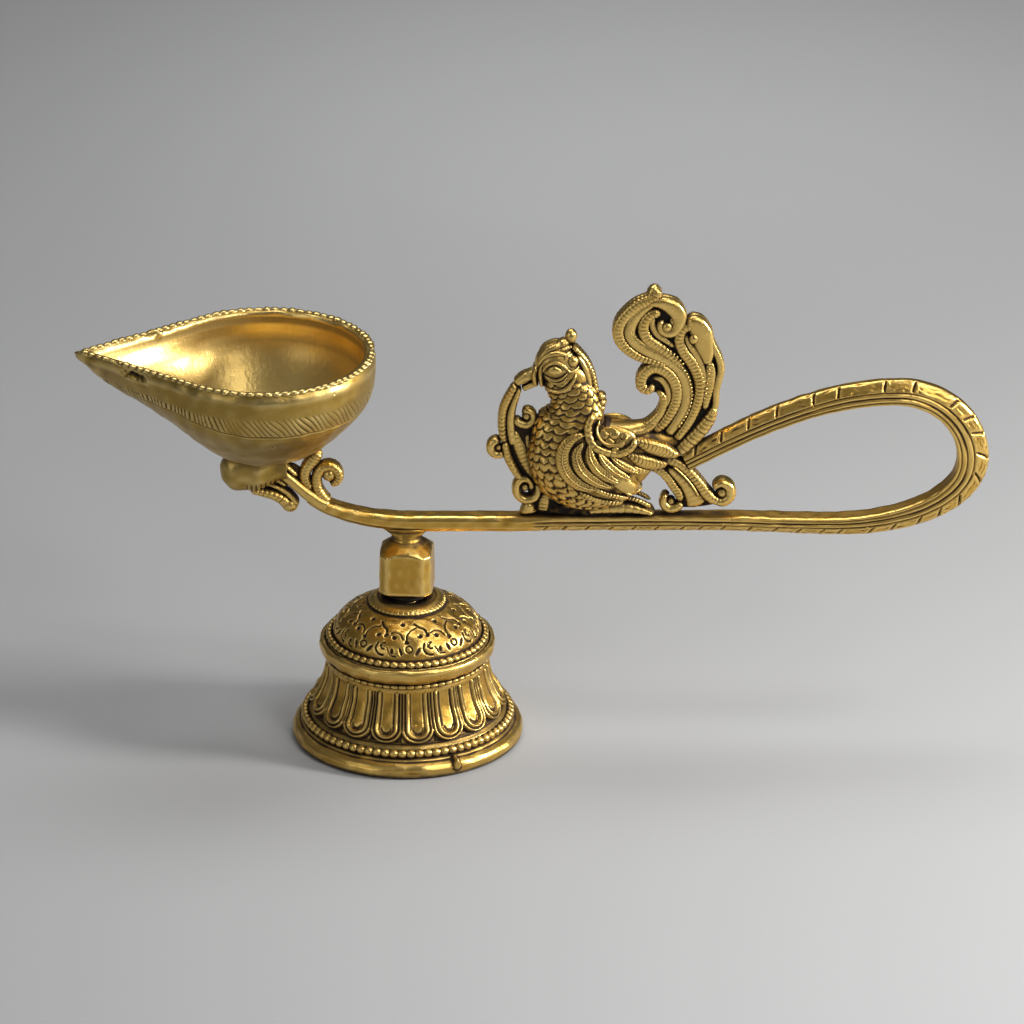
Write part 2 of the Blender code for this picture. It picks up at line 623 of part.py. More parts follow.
def peacock(body_brass, ornament_brass):
    """The bird, in the pieces that its modelling falls into."""
    spine = bird(
        [
            (-12.4, 52.4),
            (-12.4, 49.8),
            (-12.2, 45.4),
            (-9.0, 39.6),
            (-7.6, 35.2),
            (-8.0, 30.4),
            (-8.9, 24.4),
            (-5.0, 16.8),
            (4.6, 16.2),
            (14.4, 17.6),
            (20.0, 18.6),
        ]
    )
    thick = sizes([3.0, 9.4, 12.4, 11.4, 13.2, 17.0, 23.6, 29.0, 24.6, 13.4, 7.0])
    width = sizes([2.4, 6.8, 9.2, 8.4, 8.8, 10.8, 13.0, 14.0, 13.6, 9.0, 5.4])
    swept("peacock_body", spine, thick, width, body_brass, ROUND_SECTION, 60.0)
    beak = bird([(-18.9, 43.8), (-20.4, 43.2), (-22.6, 42.2), (-24.4, 40.4)])
    beak_thick = sizes([6.4, 5.4, 5.0, 3.4])
    beak_width = sizes([6.0, 5.2, 4.8, 3.4])
    swept("peacock_beak", beak, beak_thick, beak_width, body_brass, ROUND_SECTION)
    crest = bird([(-8.9, 55.6), (-6.9, 52.4), (-4.3, 48.4), (-2.2, 43.6), (-0.5, 38.6)])
    swept("peacock_crest", crest, sizes([3.2, 1.8, 1.8, 1.8, 2.6]), sizes([3.6]), body_brass)
    garland = bird(
        [
            (-23.9, 38.4),
            (-26.2, 34.0),
            (-27.0, 28.6),
            (-26.8, 23.2),
            (-25.2, 17.6),
            (-22.8, 13.2),
            (-21.0, 8.6),
            (-20.6, 3.6),
        ]
    )
    thick = sizes([2.6, 3.2, 3.0, 2.6, 3.0, 3.4, 4.2, 4.6])
    swept("beak_garland", through(garland, 3), thick, [GARLAND_WIDTH], ornament_brass)
    foot = Vector((BIRD_X, bird_floor() + GAP + FOOT_PLATE_THICK / 2))
    plate_line = [foot + Vector((x, 0)) * MM for x in (-4.0, 2.0, 8.0, 14.5)]
    plate_width = [BAR_WIDTH, BAR_WIDTH * 1.3, BAR_WIDTH]
    swept("bird_foot", plate_line, [FOOT_PLATE_THICK], plate_width, ornament_brass)
    outline = through(
        bird(
            [
                (15.2, 70.2),
                (17.2, 67.0),
                (21.2, 63.5),
                (26.9, 58.8),
                (31.4, 51.0),
                (34.2, 45.4),
                (33.2, 37.6),
                (31.4, 29.1),
                (27.6, 23.6),
                (22.2, 22.6),
                (14.6, 27.0),
                (18.3, 32.9),
                (13.8, 35.8),
                (10.4, 40.7),
                (10.0, 46.0),
                (4.7, 51.0),
                (3.7, 57.0),
                (6.7, 62.9),
                (12.6, 67.0),
            ]
        ),
        2,
        closed=True,
    )
    plate("tail_plume", outline, PLUME_THICK, 0.9 * MM, ornament_brass)
    scroll = bird(
        [(20.4, 13.4), (23.2, 12.4), (26.4, 9.6), (29.4, 5.2), (32.4, 4.0), (34.6, 5.4), (34.4, 8.4)]
    )
    thick = sizes([2.4, 2.6, 2.6, 2.4, 2.2, 2.0, 2.0])
    swept("tail_scroll", through(scroll, 3), thick, [STRAND_WIDTH], ornament_brass)
    leaf = bird([(20.6, 10.2), (22.8, 7.6), (24.9, 4.8), (26.1, 2.9)])
    swept("tail_leaf", leaf, sizes([1.6, 2.2, 2.8, 3.6]), [STRAND_WIDTH], ornament_brass)
    inner = bird([(16.6, 9.4), (18.6, 8.2), (20.4, 5.8), (20.8, 3.0), (18.6, 1.7), (16.4, 2.4)])
    thick = sizes([1.6, 2.0, 2.2, 2.0, 1.8, 1.8])
    swept("tail_inner_scroll", through(inner, 3), thick, [STRAND_WIDTH], ornament_brass)


def main():
    for existing in list(bpy.data.objects):
        bpy.data.objects.remove(existing)
    polished = brass("polished_brass", (0.56, 0.42, 0.16), 0.32)
    antique = brass("antique_brass", (0.48, 0.35, 0.13), 0.4)
    plain = brass("plain_brass", (0.62, 0.5, 0.24), 0.35)
    base_skirt(antique)
    base_dome(antique)
    stem_stud(plain)
    washer_z = CROWN_UNDER_Z - GAP - STUD_WASHER_HEIGHT
    flat_ring(
        "stud_washer", STUD_HOLE_RADIUS, STUD_WASHER_RADIUS, washer_z, STUD_WASHER_HEIGHT, plain
    )
    stud_nut(plain)
    flat_ring(
        "neck_washer",
        STUD_HOLE_RADIUS,
        NECK_WASHER_RADIUS,
        NECK_WASHER_Z,
        NECK_WASHER_HEIGHT,
        polished,
    )
    neck(polished)
    handle_bar(polished)
    bowl(polished)
    bowl_rivet(polished)
    bowl_seat(polished)
    bracket(polished)
    peacock(antique, antique)


main()
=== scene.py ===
# %% [markdown]
# # A brass hand lamp with a peacock
#
# The lamp is cast and turned brass: a hollow bell foot, a dome that closes it, a neck that screws on a stud
# in the dome, a long looped handle with a peacock on it, and a leaf-shaped oil bowl riveted to the handle's
# end. The imported model gives every place and size. This lesson dresses it: each surface is worked out with
# numpy as a grid of points, put into a mesh, and given a brass whose tarnish gathers in the hollows, with
# shade painted into its colour there as well.

# %% The frame
import math

import bpy
import numpy as np
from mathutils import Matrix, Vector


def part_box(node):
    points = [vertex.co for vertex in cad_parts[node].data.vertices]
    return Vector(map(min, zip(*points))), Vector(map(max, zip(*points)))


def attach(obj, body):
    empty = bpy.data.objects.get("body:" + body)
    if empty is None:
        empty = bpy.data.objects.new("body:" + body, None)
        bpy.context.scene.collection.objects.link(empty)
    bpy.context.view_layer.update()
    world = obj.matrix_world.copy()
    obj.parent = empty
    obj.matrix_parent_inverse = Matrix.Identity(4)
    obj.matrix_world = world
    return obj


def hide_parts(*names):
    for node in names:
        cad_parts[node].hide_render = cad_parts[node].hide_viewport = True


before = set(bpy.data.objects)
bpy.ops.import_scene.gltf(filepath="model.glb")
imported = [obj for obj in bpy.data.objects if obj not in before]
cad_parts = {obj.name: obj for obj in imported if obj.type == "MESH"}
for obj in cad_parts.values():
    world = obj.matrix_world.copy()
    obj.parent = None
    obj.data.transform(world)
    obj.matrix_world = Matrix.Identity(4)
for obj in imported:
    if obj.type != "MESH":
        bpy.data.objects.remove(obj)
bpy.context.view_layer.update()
MM = 0.001


def box_mm(node):
    """Lowest and highest corner of a CAD node, in millimetres, which this lesson works in."""
    low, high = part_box(node)
    return np.array(low) * 1000, np.array(high) * 1000


skirt_low, skirt_high = box_mm("base_skirt")
bar_low, bar_high = box_mm("handle_bar")
bowl_low, bowl_high = box_mm("bowl")
neck_low, neck_high = box_mm("neck")
DOME_TOP = box_mm("base_dome")[1][2]
STEM_X = (skirt_low[0] + skirt_high[0]) / 2

# %% [markdown]
# ## Lines and waves
#
# Casting detail is mostly lines: a ridge, a groove, a row of nicks. So the first helpers are a soft step, a
# soft ridge, a smooth curve through a few given points, and the distance from every point of a grid to such
# a curve.


# %% Lines and waves
def soft_step(low, high, value):
    """0 below low, 1 above high, and 3t^2 - 2t^3 of the share t in between."""
    t = np.clip((np.asarray(value, float) - low) / (high - low), 0, 1)
    return t * t * (3 - 2 * t)


def ridge(distance, width):
    """Half a cosine wave: 1 on the line, falling to 0 at half the width on either side."""
    return 0.5 + 0.5 * np.cos(np.pi * np.clip(2 * np.abs(distance) / width, 0, 1))


def nicks(turns, sharpness):
    """Rows of round-topped swellings with a nick at every whole turn: 1 - (1 - |sin(pi *
    turns)|)^sharpness."""
    return 1 - (1 - np.abs(np.sin(np.pi * turns))) ** sharpness


def curve(points, count=None, gap=0.25):
    """A smooth line through given points, at equal steps. Between two points it is a cubic that leaves each
    one parallel to the line between that point's neighbours (Catmull-Rom)."""
    p = np.asarray(points, float)
    p = np.vstack([2 * p[0] - p[1], p, 2 * p[-1] - p[-2]])
    t = np.linspace(0, 1, 24, endpoint=False)[:, None, None]
    a, b, c, d = p[:-3], p[1:-2], p[2:-1], p[3:]
    dense = 0.5 * (
        2 * b + (c - a) * t + (2 * a - 5 * b + 4 * c - d) * t**2 + (3 * b - a - 3 * c + d) * t**3
    )
    dense = np.vstack([dense.transpose(1, 0, 2).reshape(-1, p.shape[1]), p[-2]])
    return even_steps(dense, count, gap)


def even_steps(line, count=None, gap=0.25):
    """The same line, drawn again with its points at equal distances along it."""
    along = lengths(line)
    count = count or max(8, int(along[-1] / gap))
    places = np.linspace(0, along[-1], count)
    return np.stack([np.interp(places, along, line[:, k]) for k in range(line.shape[1])], 1)


def lengths(line):
    """Distance along a line, from its start to each of its points."""
    return np.r_[0, np.cumsum(np.linalg.norm(np.diff(line, axis=0), axis=1))]


def spread(values, shares):
    """Values at equal steps, read at any share (0 to 1) of the way along them, with straight lines
    between."""
    values = np.atleast_1d(np.asarray(values, float))
    if len(values) == 1:
        return values[0] + 0 * shares
    return np.interp(shares, np.linspace(0, 1, len(values)), values)


def gap_to(u, v, line):
    """Distance from each point (u, v) of a grid to the nearest stretch of a line of (u, v) points."""
    nearest = np.full(np.broadcast(u, v).shape, np.inf)
    for (u0, v0), (u1, v1) in zip(line[:-1], line[1:]):
        share = ((u - u0) * (u1 - u0) + (v - v0) * (v1 - v0)) / max((u1 - u0) ** 2 + (v1 - v0) ** 2, 1e-9)
        share = np.clip(share, 0, 1)
        nearest = np.minimum(nearest, np.hypot(u - u0 - share * (u1 - u0), v - v0 - share * (v1 - v0)))
    return nearest


# %% [markdown]
# ## From a grid of points to a piece
#
# A shell is a grid of points whose rows close round on themselves. Its ends are closed with a fan of
# triangles, and its volume tells whether it is inside out. Each point also carries how sunk it is: the
# mean of its neighbours a short way off stands above it in a groove, and below it on a crest. The brass
# reads that number, so tarnish stays in the grooves and the crests are rubbed bright, as on the real
# thing.


# %% Shells and pieces
def stepped(grid, axis, closed, steps):
    """The grid's points a number of steps further on, held at the last one where the grid is open."""
    if closed:
        return np.roll(grid, -steps, axis)
    index = np.clip(np.arange(grid.shape[axis]) + steps, 0, grid.shape[axis] - 1)
    return np.take(grid, index, axis)


def outward(grid, closed_rows):
    """Normals: the cross product of the steps along and round the grid. A closed shape's volume is the
    sum of its points dotted with them, so a negative sum means that they point inwards and are turned
    round."""
    along = stepped(grid, 0, closed_rows, 1) - stepped(grid, 0, closed_rows, -1)
    around = stepped(grid, 1, True, 1) - stepped(grid, 1, True, -1)
    cross = np.cross(around, along)
    facing = np.sign(np.sum((grid - grid.mean((0, 1))) * cross)) or 1.0
    return facing * cross / np.maximum(np.linalg.norm(cross, axis=2, keepdims=True), 1e-12), facing


def how_sunk(grid, normals, closed_rows):
    """Over two reaches: the mean height of the four neighbours above the point, over a groove depth,
    summed."""
    total = np.zeros(grid.shape[:2])
    for reach, depth in ((0.3, 0.055), (0.8, 0.16)):
        mean = np.zeros_like(grid)
        for axis, closed in ((0, closed_rows), (1, True)):
            step = np.median(np.linalg.norm(stepped(grid, axis, closed, 1) - grid, axis=2)) + 1e-9
            steps = max(1, int(round(reach / step)))
            mean += (stepped(grid, axis, closed, steps) + stepped(grid, axis, closed, -steps)) / 4
        total += ((mean - grid) * normals).sum(2) / depth
    return np.clip(total, -1, 1)


def shell(grid, stain_and_shade=0.0, closed_rows=False, raised=None):
    """(points, faces, sunk) of a grid of (rows, columns, 3) in mm. raised is added along the normals
    first."""
    normals, facing = outward(grid, closed_rows)
    if raised is not None:
        grid = grid + normals * np.asarray(raised)[..., None]
        normals, facing = outward(grid, closed_rows)
    # The stain number darkens a point as if it were more sunk: real stains at some places, painted shade at
    # others, such as the dark webs and the handle's inner face.
    sunk = np.clip(how_sunk(grid, normals, closed_rows) + stain_and_shade, -1, 1)
    rows, columns = grid.shape[:2]
    index = np.arange(rows * columns).reshape(rows, columns)
    points = grid.reshape(-1, 3)
    sunk = sunk.ravel()
    if closed_rows:
        index = np.vstack([index, index[:1]])
    index = np.hstack([index, index[:, :1]])
    quads = np.stack([index[:-1, :-1], index[:-1, 1:], index[1:, 1:], index[1:, :-1]], 2).reshape(-1, 4)
    faces = quads.tolist()
    if not closed_rows:
        for ring, tip, turn in ((index[0], rows * columns, 1), (index[-1], rows * columns + 1, -1)):
            fan = np.stack([ring[1:], ring[:-1], np.full(columns, tip)], 1)
            faces += fan[:, ::turn].tolist()
        points = np.vstack([points, grid[0].mean(0), grid[-1].mean(0)])
        sunk = np.r_[sunk, sunk[:columns].mean(), sunk[-columns:].mean()]
    if facing < 0:
        faces = [face[::-1] for face in faces]
    return points, faces, sunk


def other_side(part):
    """The same shell on the far side of the lamp: y changes sign, so the faces are turned round."""
    points, faces, sunk = part
    return points * [1, -1, 1], [face[::-1] for face in faces], sunk


def piece(name, shells, material, body, replaces=()):
    """One mesh object from one or more shells, riding on a body and standing for the CAD nodes it
    replaces."""
    shells = shells if isinstance(shells, list) else [shells]
    starts = np.cumsum([0] + [len(points) for points, _, _ in shells])
    faces = []
    for (_, shell_faces, _), start in zip(shells, starts):
        faces += [[corner + start for corner in face] for face in shell_faces]
    points = np.vstack([points for points, _, _ in shells])
    sunk = np.concatenate([one_sunk for _, _, one_sunk in shells])
    mesh = bpy.data.meshes.new(name)
    mesh.from_pydata((points * MM).tolist(), [], faces)
    mesh.attributes.new("sunk", "FLOAT", "POINT").data.foreach_set("value", sunk)
    mesh.shade_smooth()
    mesh.materials.append(material)
    made = bpy.data.objects.new(name, mesh)
    bpy.context.collection.objects.link(made)
    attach(made, body)
    if replaces:
        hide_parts(*replaces)
    print(f"{name}: {len(points)} points, {np.round(np.ptp(points, axis=0), 1).tolist()} mm")
    return made


# %% [markdown]
# ## Turned and swept grids
#
# Two grids make nearly everything here. A turned grid is a line spun about an upright axis, as on a
# lathe. A swept grid is a section carried along a path, as wire is drawn, and with nicks in its sides it
# is the twisted cord that this kind of casting is drawn with. Slow waves of an uneven height make both
# look made by hand.


# %% Turned and swept grids
def lumps(grid, size, seed, waves=24):
    """Hand-made unevenness, about -1 to 1: a sum of sine waves through space in random directions, with
    wavelengths near size in mm, over the root of their number."""
    rng = np.random.default_rng(seed)
    turns = rng.normal(size=(waves, 3))
    turns *= (2 * np.pi / size * rng.uniform(0.6, 1.5, waves) / np.linalg.norm(turns, axis=1))[:, None]
    total = np.zeros(grid.shape[:2])
    for turn, start in zip(turns, rng.uniform(0, 2 * np.pi, waves)):
        total += np.sin(grid @ turn + start)
    return total / math.sqrt(waves)


def turned(radius, height, x=None):
    """A turned grid: each row is a circle about the upright axis at x. radius and height have a row each,
    and may have a column each where the wall isn't round."""
    radius, height = np.broadcast_arrays(radius, height)
    turn = np.linspace(0, 2 * np.pi, radius.shape[1], endpoint=False)
    x = STEM_X if x is None else x
    return np.stack([x + radius * np.cos(turn), radius * np.sin(turn), height], 2)


def swept(path, across, out, columns=20, square=2.0, up=(0, -1, 0)):
    """A bar along a path of (x, y, z) places. Its section is a superellipse: across *
    sign(c)|c|^(2/square) sideways and out * sign(s)|s|^(2/square) along up, with c and s the cosine and
    sine of the turn round it."""
    shares = lengths(path) / lengths(path)[-1]
    heading = np.gradient(path, axis=0)
    heading /= np.linalg.norm(heading, axis=1, keepdims=True)
    side = np.cross(np.broadcast_to(np.array(up, float), path.shape), heading)
    side /= np.linalg.norm(side, axis=1, keepdims=True)
    lift = np.cross(heading, side)
    turn = np.linspace(0, 2 * np.pi, columns, endpoint=False)
    c = np.sign(np.cos(turn)) * np.abs(np.cos(turn)) ** (2 / square)
    s = np.sign(np.sin(turn)) * np.abs(np.sin(turn)) ** (2 / square)
    across = np.broadcast_to(spread(across, shares), shares.shape)[:, None, None]
    out = np.broadcast_to(spread(out, shares), shares.shape)[:, None, None]
    return path[:, None] + across * c[
        None, :, None
    ] * side[:, None] + out * s[None, :, None] * lift[:, None]


def strand(
    points, across, out, pitch=1.2, depth=0.3, lean=0.0, columns=18, at_y=0.0, square=2.6, taper=1.2
):
    """A nicked strand like a twisted cord: a swept bar whose sides sink at every pitch. points are (x, z)
    or (x, y, z); lean slants the nicks towards the strand's edges, so that they read as barbs."""
    points = np.asarray(points, float)
    if points.shape[1] == 2:
        points = np.insert(points, 1, at_y, axis=1)
    path = curve(points, gap=min(0.25, pitch / 5) if depth else 0.3)
    along = lengths(path)
    ends = np.sqrt(np.clip(np.minimum(along, along[-1] - along) / taper, 0.02, 1))
    shares = along / along[-1]
    grid = swept(path, spread(across, shares) * ends, spread(out, shares) * ends, columns, square)
    turn = np.linspace(0, 2 * np.pi, columns, endpoint=False)
    turns = (along[:, None] + lean * np.abs(np.cos(turn))) / pitch
    swell = depth * (nicks(turns, 2.6) - 1) * ends[:, None]
    return shell(grid, raised=swell if depth else None)


def bead_ring(radius, height, size, count, rows=10, per_bead=8):
    """A ring of cast beads: a tube round the stem's axis whose radius swells once a bead."""
    turn = np.linspace(0, 2 * np.pi, count * per_bead, endpoint=False)
    round_turn = np.linspace(0, 2 * np.pi, rows, endpoint=False)[:, None]
    tube = size / 2 * (0.55 + 0.45 * np.abs(np.sin(turn * count / 2)) ** 0.7)
    grid = turned(radius + tube * np.cos(round_turn), height + tube * np.sin(round_turn), STEM_X)
    return shell(grid, closed_rows=True)


def ball(centre, radii, rows=12, columns=16):
    """An ellipsoid: rows of latitude, circles of longitude."""
    lift = np.linspace(-np.pi / 2, np.pi / 2, rows)[1:-1, None]
    turn = np.linspace(0, 2 * np.pi, columns, endpoint=False)[None]
    unit = np.stack(
        [np.cos(lift) * np.cos(turn), np.cos(lift) * np.sin(turn), np.sin(lift) + 0 * turn], 2
    )
    return shell(np.asarray(centre, float) + unit * np.asarray(radii, float))


# %% [markdown]
# ## The brasses
#
# Old brass is one metal in three states: rubbed bright on the crests, warm and duller on the flats, and near
# black where polish and soot stay in the hollows. One node group mixes them from the sunk attribute, how
# shut in the spot is, and a cloudy noise; how shut in it is comes from ambient occlusion and paints shade
# into the colour between parts and in crevices. A second group makes the skin of a sand casting: fine grain
# and small pits. Both are built once and placed in every brass with its own values.


# %% Node groups
def new_group(name, inputs, outputs):
    """An empty shader group with named sockets. inputs are (name, kind, value), outputs (name, kind)."""
    group = bpy.data.node_groups.new(name, "ShaderNodeTree")
    for label, kind, value in inputs:
        group.interface.new_socket(
            label, in_out="INPUT", socket_type="NodeSocket" + kind
        ).default_value = value
    for label, kind in outputs:
        group.interface.new_socket(label, in_out="OUTPUT", socket_type="NodeSocket" + kind)
    return group, group.nodes.new("NodeGroupInput"), group.nodes.new("NodeGroupOutput")


def math_node(tree, operation, first, second=None, clamp=False):
    """One Math node; its inputs are numbers or sockets."""
    node = tree.nodes.new("ShaderNodeMath")
    node.operation, node.use_clamp = operation, clamp
    for place, value in enumerate((first, second)):
        if isinstance(value, bpy.types.NodeSocket):
            tree.links.new(value, node.inputs[place])
        elif value is not None:
            node.inputs[place].default_value = value
    return node.outputs[0]


def mix_colour(tree, share, first, second, blend="MIX"):
    """One colour Mix node; its inputs are colours or sockets."""
    node = tree.nodes.new("ShaderNodeMix")
    node.data_type, node.blend_type = "RGBA", blend
    for place, value in ((0, share), (6, first), (7, second)):
        if isinstance(value, bpy.types.NodeSocket):
            tree.links.new(value, node.inputs[place])
        else:
            node.inputs[place].default_value = value
    return node.outputs[2]


def noise_node(tree, coordinates, scale, detail=3.0, roughness=0.55):
    """One Noise node, per metre."""
    node = tree.nodes.new("ShaderNodeTexNoise")
    node.inputs["Scale"].default_value = scale
    node.inputs["Detail"].default_value = detail
    node.inputs["Roughness"].default_value = roughness
    tree.links.new(coordinates, node.inputs["Vector"])
    return node.outputs["Fac"]


def tarnish_and_shade_group():
    """Mixes the bright, flat and deep colours. The darkening is how sunk (tarnish in the grooves) + how shut
    in (painted shade from ambient occlusion) + a cloudy noise, each of which grows with age, cut to between
    0 and 1; a spot is rubbed where it stands out. Where it is dark the surface is rougher than metal, and
    less metallic."""
    group, given, result = new_group(
        "Tarnish_and_painted_shade",
        [
            ("Coordinates", "Vector", (0, 0, 0)),
            ("Sunk", "Float", 0.0),
            ("Open", "Float", 1.0),
            ("Bright", "Color", (1, 1, 1, 1)),
            ("Flat", "Color", (1, 1, 1, 1)),
            ("Deep", "Color", (0, 0, 0, 1)),
            ("Age", "Float", 0.5),
            ("Shine", "Float", 0.3),
        ],
        [("Color", "Color"), ("Roughness", "Float"), ("Metal", "Float")],
    )
    sunk, open_to_light, age, shine = (given.outputs[name] for name in ("Sunk", "Open", "Age", "Shine"))

    def reckon(operation, first, second, clamp=False):
        return math_node(group, operation, first, second, clamp)

    cloud = noise_node(group, given.outputs["Coordinates"], 160, 4)
    speck = noise_node(group, given.outputs["Coordinates"], 900, 2)
    # How shut in the spot is, from ambient occlusion: shade painted into the colour, deepest between parts
    # and in crevices.
    ao_shade = reckon("SUBTRACT", 1.0, open_to_light)
    ao_shade = reckon("MULTIPLY", ao_shade, reckon("MULTIPLY", age, 2.3))
    hollow = reckon("MULTIPLY", sunk, 1.0, clamp=True)
    hollow = reckon("MULTIPLY", hollow, reckon("ADD", age, 0.45))
    uneven = reckon("MULTIPLY", reckon("SUBTRACT", cloud, 0.5), 0.9)
    uneven = reckon("ADD", uneven, reckon("MULTIPLY", reckon("SUBTRACT", speck, 0.5), 0.5))
    uneven = reckon("MULTIPLY", uneven, age)
    # Tarnish from the hollows and the noise, plus painted shade from ambient occlusion.
    tarnish_and_shade = reckon("ADD", reckon("ADD", ao_shade, hollow), reckon("SUBTRACT", uneven, 0.18), clamp=True)
    rubbed = reckon("MULTIPLY", sunk, -0.8, clamp=True)
    rubbed = reckon("ADD", rubbed, reckon("MULTIPLY", reckon("SUBTRACT", cloud, 0.45), 0.8), clamp=True)
    metal = mix_colour(group, rubbed, given.outputs["Flat"], given.outputs["Bright"])
    colour = mix_colour(group, tarnish_and_shade, metal, given.outputs["Deep"])
    dull = reckon("MULTIPLY", reckon("SUBTRACT", 1.0, rubbed), 0.07)
    rough = reckon("ADD", reckon("ADD", shine, dull), reckon("MULTIPLY", tarnish_and_shade, 0.32))
    rough = reckon("ADD", rough, reckon("MULTIPLY", reckon("SUBTRACT", speck, 0.5), 0.08))
    metal_share = reckon("SUBTRACT", 1.0, reckon("MULTIPLY", tarnish_and_shade, 0.55))
    for label, value in (("Color", colour), ("Roughness", rough), ("Metal", metal_share)):
        group.links.new(value, result.inputs[label])
    return group


def casting_group():
    """The height of a sand-cast skin: two sizes of grain, and pits where a cell pattern's distance is
    small."""
    group, given, result = new_group(
        "Casting skin",
        [("Coordinates", "Vector", (0, 0, 0)), ("Grain", "Float", 0.5), ("Pits", "Float", 0.5)],
        [("Height", "Float")],
    )
    place = given.outputs["Coordinates"]
    coarse = math_node(group, "MULTIPLY", noise_node(group, place, 420, 3), 0.9)
    fine = math_node(group, "MULTIPLY", noise_node(group, place, 2200, 2), 0.35)
    grain = math_node(group, "ADD", coarse, fine)
    grain = math_node(group, "MULTIPLY", grain, given.outputs["Grain"])
    cells = group.nodes.new("ShaderNodeTexVoronoi")
    cells.inputs["Scale"].default_value = 380
    group.links.new(place, cells.inputs["Vector"])
    few = math_node(group, "GREATER_THAN", noise_node(group, place, 130, 1), 0.53)
    pit = math_node(group, "SUBTRACT", 0.16, cells.outputs["Distance"], clamp=True)
    pit = math_node(group, "MULTIPLY", pit, few)
    pit = math_node(group, "MULTIPLY", pit, math_node(group, "MULTIPLY", given.outputs["Pits"], 9.0))
    group.links.new(math_node(group, "SUBTRACT", grain, pit), result.inputs["Height"])
    return group


tarnish_and_shade_nodes = tarnish_and_shade_group()
casting = casting_group()
print("groups:", tarnish_and_shade_nodes.name, "and", casting.name)


# %% [markdown]
# The materials below give the two groups their values. The engraved foot and the bird are the darkest,
# the handle and the neck are handled and rubbed, and the bowl is wiped clean inside.


# %% A brass
def brass(name, bright, flat, deep, age, shine, grain, pits, reach=0.004, streaks=0.0):
    """A brass with its own colours, tarnish, painted shade and skin. reach is how far off, in metres, a
    neighbour shuts a spot in and so paints shade on it through ambient occlusion; streaks is the height of
    upright polishing lines in the bump."""
    material = bpy.data.materials.new(name)
    material.use_nodes = True
    tree = material.node_tree
    shader = tree.nodes["Principled BSDF"]
    place = tree.nodes.new("ShaderNodeTexCoord").outputs["Object"]
    sunk = tree.nodes.new("ShaderNodeAttribute")
    sunk.attribute_name = "sunk"
    # Ambient occlusion reads how shut in each spot is; the group darkens the colour by it, which is painted
    # shade.
    open_to_light = tree.nodes.new("ShaderNodeAmbientOcclusion")
    open_to_light.inputs["Distance"].default_value = reach
    open_to_light.samples = 6
    mixed = tree.nodes.new("ShaderNodeGroup")
    mixed.node_tree = tarnish_and_shade_nodes
    tree.links.new(place, mixed.inputs["Coordinates"])
    tree.links.new(sunk.outputs["Fac"], mixed.inputs["Sunk"])
    tree.links.new(open_to_light.outputs["AO"], mixed.inputs["Open"])
    for label, value in (("Bright", bright), ("Flat", flat), ("Deep", deep)):
        mixed.inputs[label].default_value = (*value, 1)
    mixed.inputs["Age"].default_value = age
    mixed.inputs["Shine"].default_value = shine
    skin = tree.nodes.new("ShaderNodeGroup")
    skin.node_tree = casting
    tree.links.new(place, skin.inputs["Coordinates"])
    skin.inputs["Grain"].default_value = grain
    skin.inputs["Pits"].default_value = pits
    bump = tree.nodes.new("ShaderNodeBump")
    bump.inputs["Strength"].default_value = 1.0
    bump.inputs["Distance"].default_value = 0.00022
    height = skin.outputs["Height"]
    if streaks:
        stretched = tree.nodes.new("ShaderNodeMapping")
        stretched.inputs["Scale"].default_value = (1, 1, 0.04)
        tree.links.new(place, stretched.inputs["Vector"])
        lines = noise_node(tree, stretched.outputs["Vector"], 700, 2)
        height = math_node(tree, "ADD", height, math_node(tree, "MULTIPLY", lines, streaks))
    tree.links.new(height, bump.inputs["Height"])
    tree.links.new(bump.outputs["Normal"], shader.inputs["Normal"])
    tree.links.new(mixed.outputs["Color"], shader.inputs["Base Color"])
    tree.links.new(mixed.outputs["Roughness"], shader.inputs["Roughness"])
    tree.links.new(mixed.outputs["Metal"], shader.inputs["Metallic"])
    return material


# %% The brasses
BRIGHT = (0.88, 0.61, 0.19)
GOLD = (0.6, 0.345, 0.062)
OLIVE = (0.42, 0.27, 0.06)
UMBER = (0.042, 0.023, 0.01)
BLACK = (0.012, 0.008, 0.006)

antique = brass("antique_cast_brass", BRIGHT, GOLD, UMBER, age=1.0, shine=0.29, grain=0.8, pits=0.7)
bird_brass = brass(
    "antique_bird_brass", BRIGHT, GOLD, UMBER, age=1.1, shine=0.27, grain=0.7, pits=0.6, reach=0.0035
)
# Near black brass for the tail plume's dark ground and the neck spacer, and for the sheets that fill shaded
# gaps, where it is painted shade.
dark_ground_and_shade = brass(
    "dark_ground_and_painted_shade", (0.2, 0.12, 0.04), (0.035, 0.022, 0.012), BLACK, age=1.4, shine=0.45, grain=0.9,
    pits=0.8
)
satin = brass("satin_handle_brass", BRIGHT, GOLD, UMBER, age=0.72, shine=0.29, grain=0.6, pits=0.6)
bowl_skin = brass(
    "bowl_outside_brass", (0.75, 0.56, 0.22), OLIVE, UMBER, age=0.5, shine=0.33, grain=0.6, pits=0.6
)
POLISHED, WORN_PALE = (0.9, 0.69, 0.3), (0.76, 0.53, 0.17)
bowl_inside = brass(
    "bowl_inside_brass", POLISHED, WORN_PALE, UMBER, 0.2, 0.29, 0.25, 0.1, reach=0.002, streaks=0.5
)
neck_brass = brass("neck_brass", BRIGHT, GOLD, UMBER, age=0.45, shine=0.27, grain=0.3, pits=0.35)
thread_brass = brass(
    "plain_thread_brass", BRIGHT, (0.7, 0.52, 0.2), UMBER, age=0.3, shine=0.25, grain=0.1, pits=0.0
)
print("brasses:", len(bpy.data.materials))

